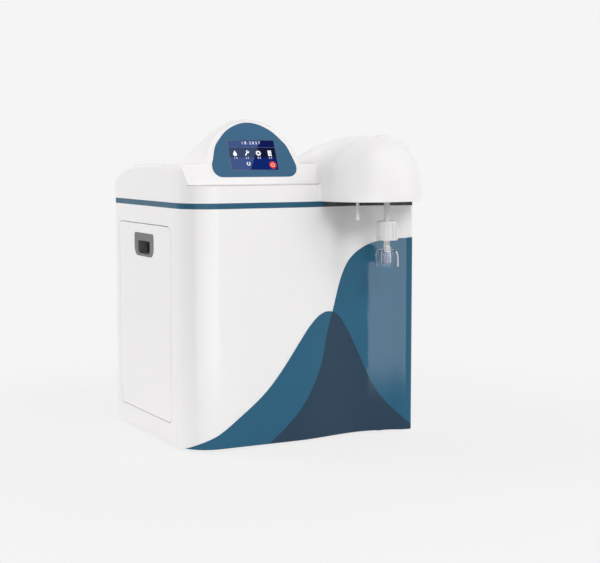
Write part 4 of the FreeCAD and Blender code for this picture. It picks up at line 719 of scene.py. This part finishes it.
# Operators: one for each group of like pieces
class WATER_OT_white_shells(bpy.types.Operator):
    """Finish the white shells and doors"""
    bl_idname = "water.white_shells"
    bl_label = "White shells"

    def execute(self, context):
        finish_slots(("white",))
        return {"FINISHED"}


class WATER_OT_blue_parts(bpy.types.Operator):
    """Finish the band, the control panel and the printed film"""
    bl_idname = "water.blue_parts"
    bl_label = "Blue parts"

    def execute(self, context):
        finish_slots(("blue_band", "blue_panel", "film_blue", "film_navy"))
        return {"FINISHED"}


class WATER_OT_head_shade(bpy.types.Operator):
    """Lay a dark strip of painted shadow on the band under the head and a grey line of painted shade along the collar
    """
    bl_idname = "water.head_seal"
    # The dark strip and the grey line are painted shade
    bl_label = "Seal and seam"

    def execute(self, context):
        sizes = context.scene.water_finishes
        low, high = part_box("band_frame")
        # Painted shadow: a dark strip on the band where the head's shadow falls
        head_shadow = front_skin(
            "band_frame", (sizes.shade_start, low.z), (high.x - SHADE_STRIP_END, high.z), SKIN_GAP, SHADE_STRIP_DEPTH)
        mesh_piece("head_shade_strip", head_shadow, moulded("head_shade_strip", tone(24, 26, 30), 0.5, 0.01))
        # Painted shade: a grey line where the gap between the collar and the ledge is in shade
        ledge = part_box("top_cover")[0].z + sizes.collar
        shade_line_low, shade_line_high = (ledge - drop for drop in SHADE_LINE_DROP)
        collar_shade = front_skin("top_cover", (low.x + SHADE_LINE_START, shade_line_low), (SHADE_LINE_END, shade_line_high), SKIN_GAP, SHADE_LINE_DEPTH)
        mesh_piece("collar_shade_line", collar_shade, moulded("collar_shade_line", tone(176, 166, 168), 0.5, 0.01, gloss=0.2))
        return {"FINISHED"}


class WATER_OT_door_fittings(bpy.types.Operator):
    """Finish the finger pulls and the feet, and lay painted shade on the pockets' floors"""
    bl_idname = "water.door_fittings"
    bl_label = "Pulls and feet"

    def execute(self, context):
        finish_slots(("grey_plastic", "rubber"))
        # Painted shade: the pockets' floors are made dark where their own shadow falls
        dark = moulded("pocket_painted_shade", tone(22, 22, 23), 0.6, 0.02)
        for side, inward in (("left", 1), ("right", -1)):
            floor = pocket_shade_plate(side + "_pull", inward)
            mesh_piece(side + "_pocket_shade_plate", floor, dark, side + "_door")
        return {"FINISHED"}


class WATER_OT_outlets(bpy.types.Operator):
    """Finish the outlet filter, the bell and the white fittings, and set the insert in the bell's nozzle"""
    bl_idname = "water.outlets"
    bl_label = "Outlets"

    def execute(self, context):
        finish_slots(("fitting_white", "clear_plastic"))
        low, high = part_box("outlet_bell")
        centre = ((low.x + high.x) / 2, (low.y + high.y) / 2)
        insert = turned([(radius, low.z + height) for radius, height in INSERT], centre)
        milky = frosted("frosted_insert", tone(214, 215, 232))
        mesh_piece("nozzle_insert", insert, milky, "outlet_bell")
        return {"FINISHED"}


class WATER_OT_inner_parts(bpy.types.Operator):
    """Finish the sheet metal, the bright metal, the board and the display module"""
    bl_idname = "water.inner_parts"
    bl_label = "Inner parts"

    def execute(self, context):
        finish_slots(("sheet_steel", "bright_steel", "circuit", "module"))
        return {"FINISHED"}


class WATER_OT_rear_fittings(bpy.types.Operator):
    """Finish the ports, the mains inlet and the switch"""
    bl_idname = "water.rear_fittings"
    bl_label = "Rear fittings"

    def execute(self, context):
        finish_slots(("black_plastic", "rocker", "fitting_grey", "collet"))
        return {"FINISHED"}


class WATER_OT_screen(bpy.types.Operator):
    """Lay the lit picture with plain symbols and figures on the screen, and a painted reflection over its left part"""
    bl_idname = "water.screen"
    bl_label = "Screen picture"

    def execute(self, context):
        finish_slots(("screen",))
        sizes = context.scene.water_screen
        _, width, height = screen_frame()
        half = width / 2 - sizes.border
        low, top = sizes.border, height - sizes.border
        bar = top - sizes.header_height
        shelf = sizes.row - ROW_FOOT
        self.lay("screen_picture", [block(-half, low, half, top)], "picture", sizes.picture, 0.3)
        self.lay("screen_shade", [block(-half, shelf, half, bar)], "shade", sizes.shade, 0.3)
        self.lay("screen_header", [block(-half, bar, half, top)], "header", sizes.header, 0.2)
        # Painted reflection: lighter fields left of the slant, dimmer over the row of symbols
        reflection_outlines = [slanted(-half, low, shelf), slanted(-half, bar, top)]
        self.lay("screen_reflection", reflection_outlines, "field", sizes.reflection_colour, 0.3)
        self.lay("screen_dim_reflection", [slanted(-half, shelf, bar)], "field", tone(52, 64, 94), 0.3)
        symbols = []
        for place, make in zip(SYMBOL_PLACES, (droplet, spanner, gear, sheet_symbol)):
            symbols += make(place, sizes.row, SYMBOL_SIZE)
        symbols += ring_parts(*LOOP_PLACE, *LOOP_RADII, start=math.radians(120), share=0.85)
        reading = bar + READING_SHARE * sizes.header_height + READING_RISE
        figures = [digits("1 8 . 2 0 5 7", 0, reading, READING_HEIGHT)]
        for index, place in enumerate(SYMBOL_PLACES):
            figures.append(digits(f"{index + 1} {index + 2}", place, NUMBER_LEVEL, NUMBER_HEIGHT))
        marks = merged([slab(symbols, "symbols")] + figures)
        mesh_piece("screen_symbols", marks, lit("screen_symbols", tone(236, 240, 248), 0.5))
        self.lay("screen_line", [block(-half, bar - LINE_HEIGHT, half, bar)], "line", tone(96, 104, 160), 0.3)
        self.lay("power_symbol", [disc(*POWER_PLACE, POWER_RADIUS)], "symbols", sizes.power, 0.35)
        u, v = POWER_PLACE
        stroke, rise = POWER_BAR
        mark = ring_parts(u, v, *POWER_RING, start=math.radians(125), share=0.82)
        mark.append(block(u - stroke, v + stroke, u + stroke, v + rise))
        self.lay("power_mark", mark, "mark", tone(252, 214, 204), 0.3)
        return {"FINISHED"}

    def lay(self, name, outlines, layer, colour, strength):
        """One piece of the picture, lit in its colour."""
        mesh_piece(name, slab(outlines, layer), lit(name, colour, strength))


class WATER_OT_rear_details(bpy.types.Operator):
    """Set the louvre hoods, and crosses of painted shade in the screw heads, in rows up the rear"""
    bl_idname = "water.rear_details"
    bl_label = "Rear details"

    def execute(self, context):
        sizes = context.scene.water_rear
        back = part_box("rear_panel")[1].y
        sheet = coated_sheet("hood_steel", tone(214, 214, 212))
        hood = hood_mesh(HOOD_HALF, sizes.hood_reach)
        repeated(
            "louvre_hoods", hood, HOOD_COLUMNS, HOOD_COUNT, HOOD_PITCH, Vector((0, back, HOOD_LEVEL)), sheet)
        low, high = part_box("rear_screws")
        arm, half = sizes.slot_length / 2, sizes.slot_width / 2
        cross = boxes_mesh([
            ((-arm, 0, -half), (arm, CROSS_DEPTH, half)), ((-half, 0, -arm), (half, CROSS_DEPTH, -half)),
            ((-half, 0, half), (half, CROSS_DEPTH, arm))])
        # Painted shade: a dark cross on each screw head where its recess would lie in shade
        dark = moulded("screw_slot_shade", tone(46, 46, 48), 0.5, 0.05)
        repeated(
            "screw_slot_shades", cross, (low.x + SCREW_RADIUS, high.x - SCREW_RADIUS), SCREW_COUNT, SCREW_PITCH,
            Vector((0, high.y, low.z + SCREW_RADIUS)), dark)
        return {"FINISHED"}


class WATER_OT_stage(bpy.types.Operator):
    """Make the floor, the lights and the camera"""
    bl_idname = "water.stage"
    bl_label = "Stage"

    def execute(self, context):
        studio = context.scene.water_studio
        self.floor(studio)
        self.world(context, studio)
        self.lights(studio)
        self.camera(context)
        context.scene.view_settings.view_transform = "Standard"
        return {"FINISHED"}

    def floor(self, studio):
        """A wide floor that fades into the backdrop away from the object."""
        mesh = bpy.data.meshes.new("floor")
        corners = [(x * FLOOR_REACH, y * FLOOR_REACH, 0) for x, y in ((-1, -1), (1, -1), (1, 1), (-1, 1))]
        mesh.from_pydata(corners, [], [(0, 1, 2, 3)])
        floor = bpy.data.objects.new("floor", mesh)
        bpy.context.scene.collection.objects.link(floor)
        material, tree, shader, place = new_material("floor_paper")
        tree.links.new(tint(tree, noise(tree, place, 3), studio.floor, 0.005), shader.inputs["Base Color"])
        shader.inputs["Roughness"].default_value = 0.9
        shader.inputs["Specular IOR Level"].default_value = 0.1
        length = tree.nodes.new("ShaderNodeVectorMath")
        length.operation = "LENGTH"
        tree.links.new(place, length.inputs[0])
        fade = tree.nodes.new("ShaderNodeMapRange")
        fade.interpolation_type = "SMOOTHSTEP"
        fade.inputs["From Min"].default_value = FADE_START
        fade.inputs["From Max"].default_value = FADE_END
        tree.links.new(length.outputs["Value"], fade.inputs["Value"])
        plain = tree.nodes.new("ShaderNodeEmission")
        plain.inputs["Color"].default_value = (*studio.floor, 1)
        share = tree.nodes.new("ShaderNodeMath")
        share.operation = "MULTIPLY"
        share.inputs[1].default_value = 1 - studio.shadow
        tree.links.new(seen_rays(tree), share.inputs[0])
        lightened = tree.nodes.new("ShaderNodeMixShader")
        tree.links.new(share.outputs["Value"], lightened.inputs["Fac"])
        tree.links.new(shader.outputs["BSDF"], lightened.inputs[1])
        tree.links.new(plain.outputs["Emission"], lightened.inputs[2])
        clear = tree.nodes.new("ShaderNodeBsdfTransparent")
        mix = tree.nodes.new("ShaderNodeMixShader")
        out = next(node for node in tree.nodes if node.type == "OUTPUT_MATERIAL")
        tree.links.new(fade.outputs["Result"], mix.inputs["Fac"])
        tree.links.new(lightened.outputs["Shader"], mix.inputs[1])
        tree.links.new(clear.outputs["BSDF"], mix.inputs[2])
        tree.links.new(mix.outputs["Shader"], out.inputs["Surface"])
        mesh.materials.append(material)

    def world(self, context, studio):
        """Light from the walls in bands by height; the camera, gloss and clear parts see the backdrop."""
        world = bpy.data.worlds.new("studio")
        world.use_nodes = True
        context.scene.world = world
        tree = world.node_tree
        light = next(node for node in tree.nodes if node.type == "BACKGROUND")
        light.inputs["Color"].default_value = (1, 1, 1, 1)
        place = tree.nodes.new("ShaderNodeTexCoord")
        parts = tree.nodes.new("ShaderNodeSeparateXYZ")
        turned_up = tree.nodes.new("ShaderNodeMapRange")
        turned_up.inputs["From Min"].default_value = -1
        bands = tree.nodes.new("ShaderNodeValToRGB")
        while len(bands.color_ramp.elements) < len(WALL_BANDS):
            bands.color_ramp.elements.new(1)
        for element, (position, strength) in zip(bands.color_ramp.elements, WALL_BANDS):
            element.position = position
            element.color = (strength, strength, strength, 1)
        scaled = tree.nodes.new("ShaderNodeMath")
        scaled.operation = "MULTIPLY"
        scaled.inputs[1].default_value = studio.ambient
        tree.links.new(place.outputs["Generated"], parts.inputs["Vector"])
        tree.links.new(parts.outputs["Z"], turned_up.inputs["Value"])
        tree.links.new(turned_up.outputs["Result"], bands.inputs["Fac"])
        tree.links.new(bands.outputs["Color"], scaled.inputs[0])
        tree.links.new(scaled.outputs["Value"], light.inputs["Strength"])
        seen = tree.nodes.new("ShaderNodeBackground")
        seen.inputs["Color"].default_value = (*studio.backdrop, 1)
        mix = tree.nodes.new("ShaderNodeMixShader")
        tree.links.new(seen_rays(tree), mix.inputs["Fac"])
        tree.links.new(light.outputs["Background"], mix.inputs[1])
        tree.links.new(seen.outputs["Background"], mix.inputs[2])
        out = next(node for node in tree.nodes if node.type == "OUTPUT_WORLD")
        tree.links.new(mix.outputs["Shader"], out.inputs["Surface"])

    def lights(self, studio):
        """Lamps that gloss doesn't show, and two cards that only gloss shows: power, place, size and aimed height."""
        rows = (
            ("right_high", studio.right_high, (1.5, -1.5, 1.9), (1.2, 1.0), 0.4),
            ("right_low", studio.right_low, (1.9, -1.6, 0.9), (1.0, 1.0), 0.9),
            ("front", studio.front, (0.2, -2.4, 1.9), (1.2, 0.6), 0.4),
            ("left", studio.left, (-2.2, -1.3, 0.9), (0.6, 1.4), 0.9),
            ("back_left", studio.back_left, (-1.8, 1.4, 1.5), (0.8, 1.2), 0.6),
            ("back_right", studio.back_right, (1.8, 1.6, 1.2), (0.8, 1.2), 1.2),
            ("top", studio.top, (-0.9, 1.3, 2.3), (1.0, 0.8), 0.4),
            ("card", studio.card, (-1.57, -2.3, -0.05), (4.46, 1.3), 0.7),
            ("high_card", HIGH_CARD_SHARE * studio.card, (0.94, -2.3, 2.7), (0.88, 1.0), 2.7))
        for name, power, place, size, aim in rows:
            data = bpy.data.lights.new(name, "AREA")
            data.energy = power
            data.shape = "RECTANGLE"
            data.size, data.size_y = size
            lamp = bpy.data.objects.new(name, data)
            bpy.context.scene.collection.objects.link(lamp)
            card = name.endswith("card")
            lamp.visible_glossy = card
            lamp.visible_diffuse = not card
            lamp.visible_transmission = not card
            lamp.visible_camera = False
            lamp.location = place
            way = Vector((0, 1, 0)) if card else Vector((0, 0, aim)) - lamp.location
            lamp.rotation_euler = way.to_track_quat("-Z", "Y").to_euler()

    def camera(self, context):
        """The photograph's view."""
        data = bpy.data.cameras.new("camera")
        data.sensor_width = SENSOR_WIDTH
        data.lens = FOCAL_PIXELS * SENSOR_WIDTH / PICTURE_PIXELS
        camera = bpy.data.objects.new("camera", data)
        context.scene.collection.objects.link(camera)
        camera.location = CAMERA_PLACE
        camera.rotation_euler = (math.pi / 2 - CAMERA_DOWN, 0, CAMERA_ROUND)
        context.scene.camera = camera


OPERATORS = (
    WATER_OT_white_shells, WATER_OT_blue_parts, WATER_OT_head_shade, WATER_OT_door_fittings, WATER_OT_outlets,
    WATER_OT_inner_parts, WATER_OT_rear_fittings, WATER_OT_screen, WATER_OT_rear_details, WATER_OT_stage)


class WATER_PT_panel(bpy.types.Panel):
    """The water system's pieces and settings"""
    bl_label = "Water system"
    bl_idname = "WATER_PT_panel"
    bl_space_type = "VIEW_3D"
    bl_region_type = "UI"
    bl_category = "Water"

    def draw(self, context):
        scene = context.scene
        for settings in (scene.water_finishes, scene.water_screen, scene.water_rear, scene.water_studio):
            column = self.layout.column()
            for name in settings.__annotations__:
                column.prop(settings, name)
        for operator in OPERATORS:
            self.layout.operator(operator.bl_idname)


GROUPS = {
    "water_finishes": WaterFinishes, "water_screen": WaterScreen, "water_rear": WaterRear,
    "water_studio": WaterStudio}
CLASSES = (*GROUPS.values(), *OPERATORS, WATER_PT_panel)


def register():
    for each in CLASSES:
        bpy.utils.register_class(each)
    for name, group in GROUPS.items():
        setattr(bpy.types.Scene, name, bpy.props.PointerProperty(type=group))


def unregister():
    for name in GROUPS:
        delattr(bpy.types.Scene, name)
    for each in reversed(CLASSES):
        bpy.utils.unregister_class(each)


def main():
    register()
    for operator in OPERATORS:
        group, name = operator.bl_idname.split(".")
        getattr(getattr(bpy.ops, group), name)()


if __name__ == "__main__":
    main()
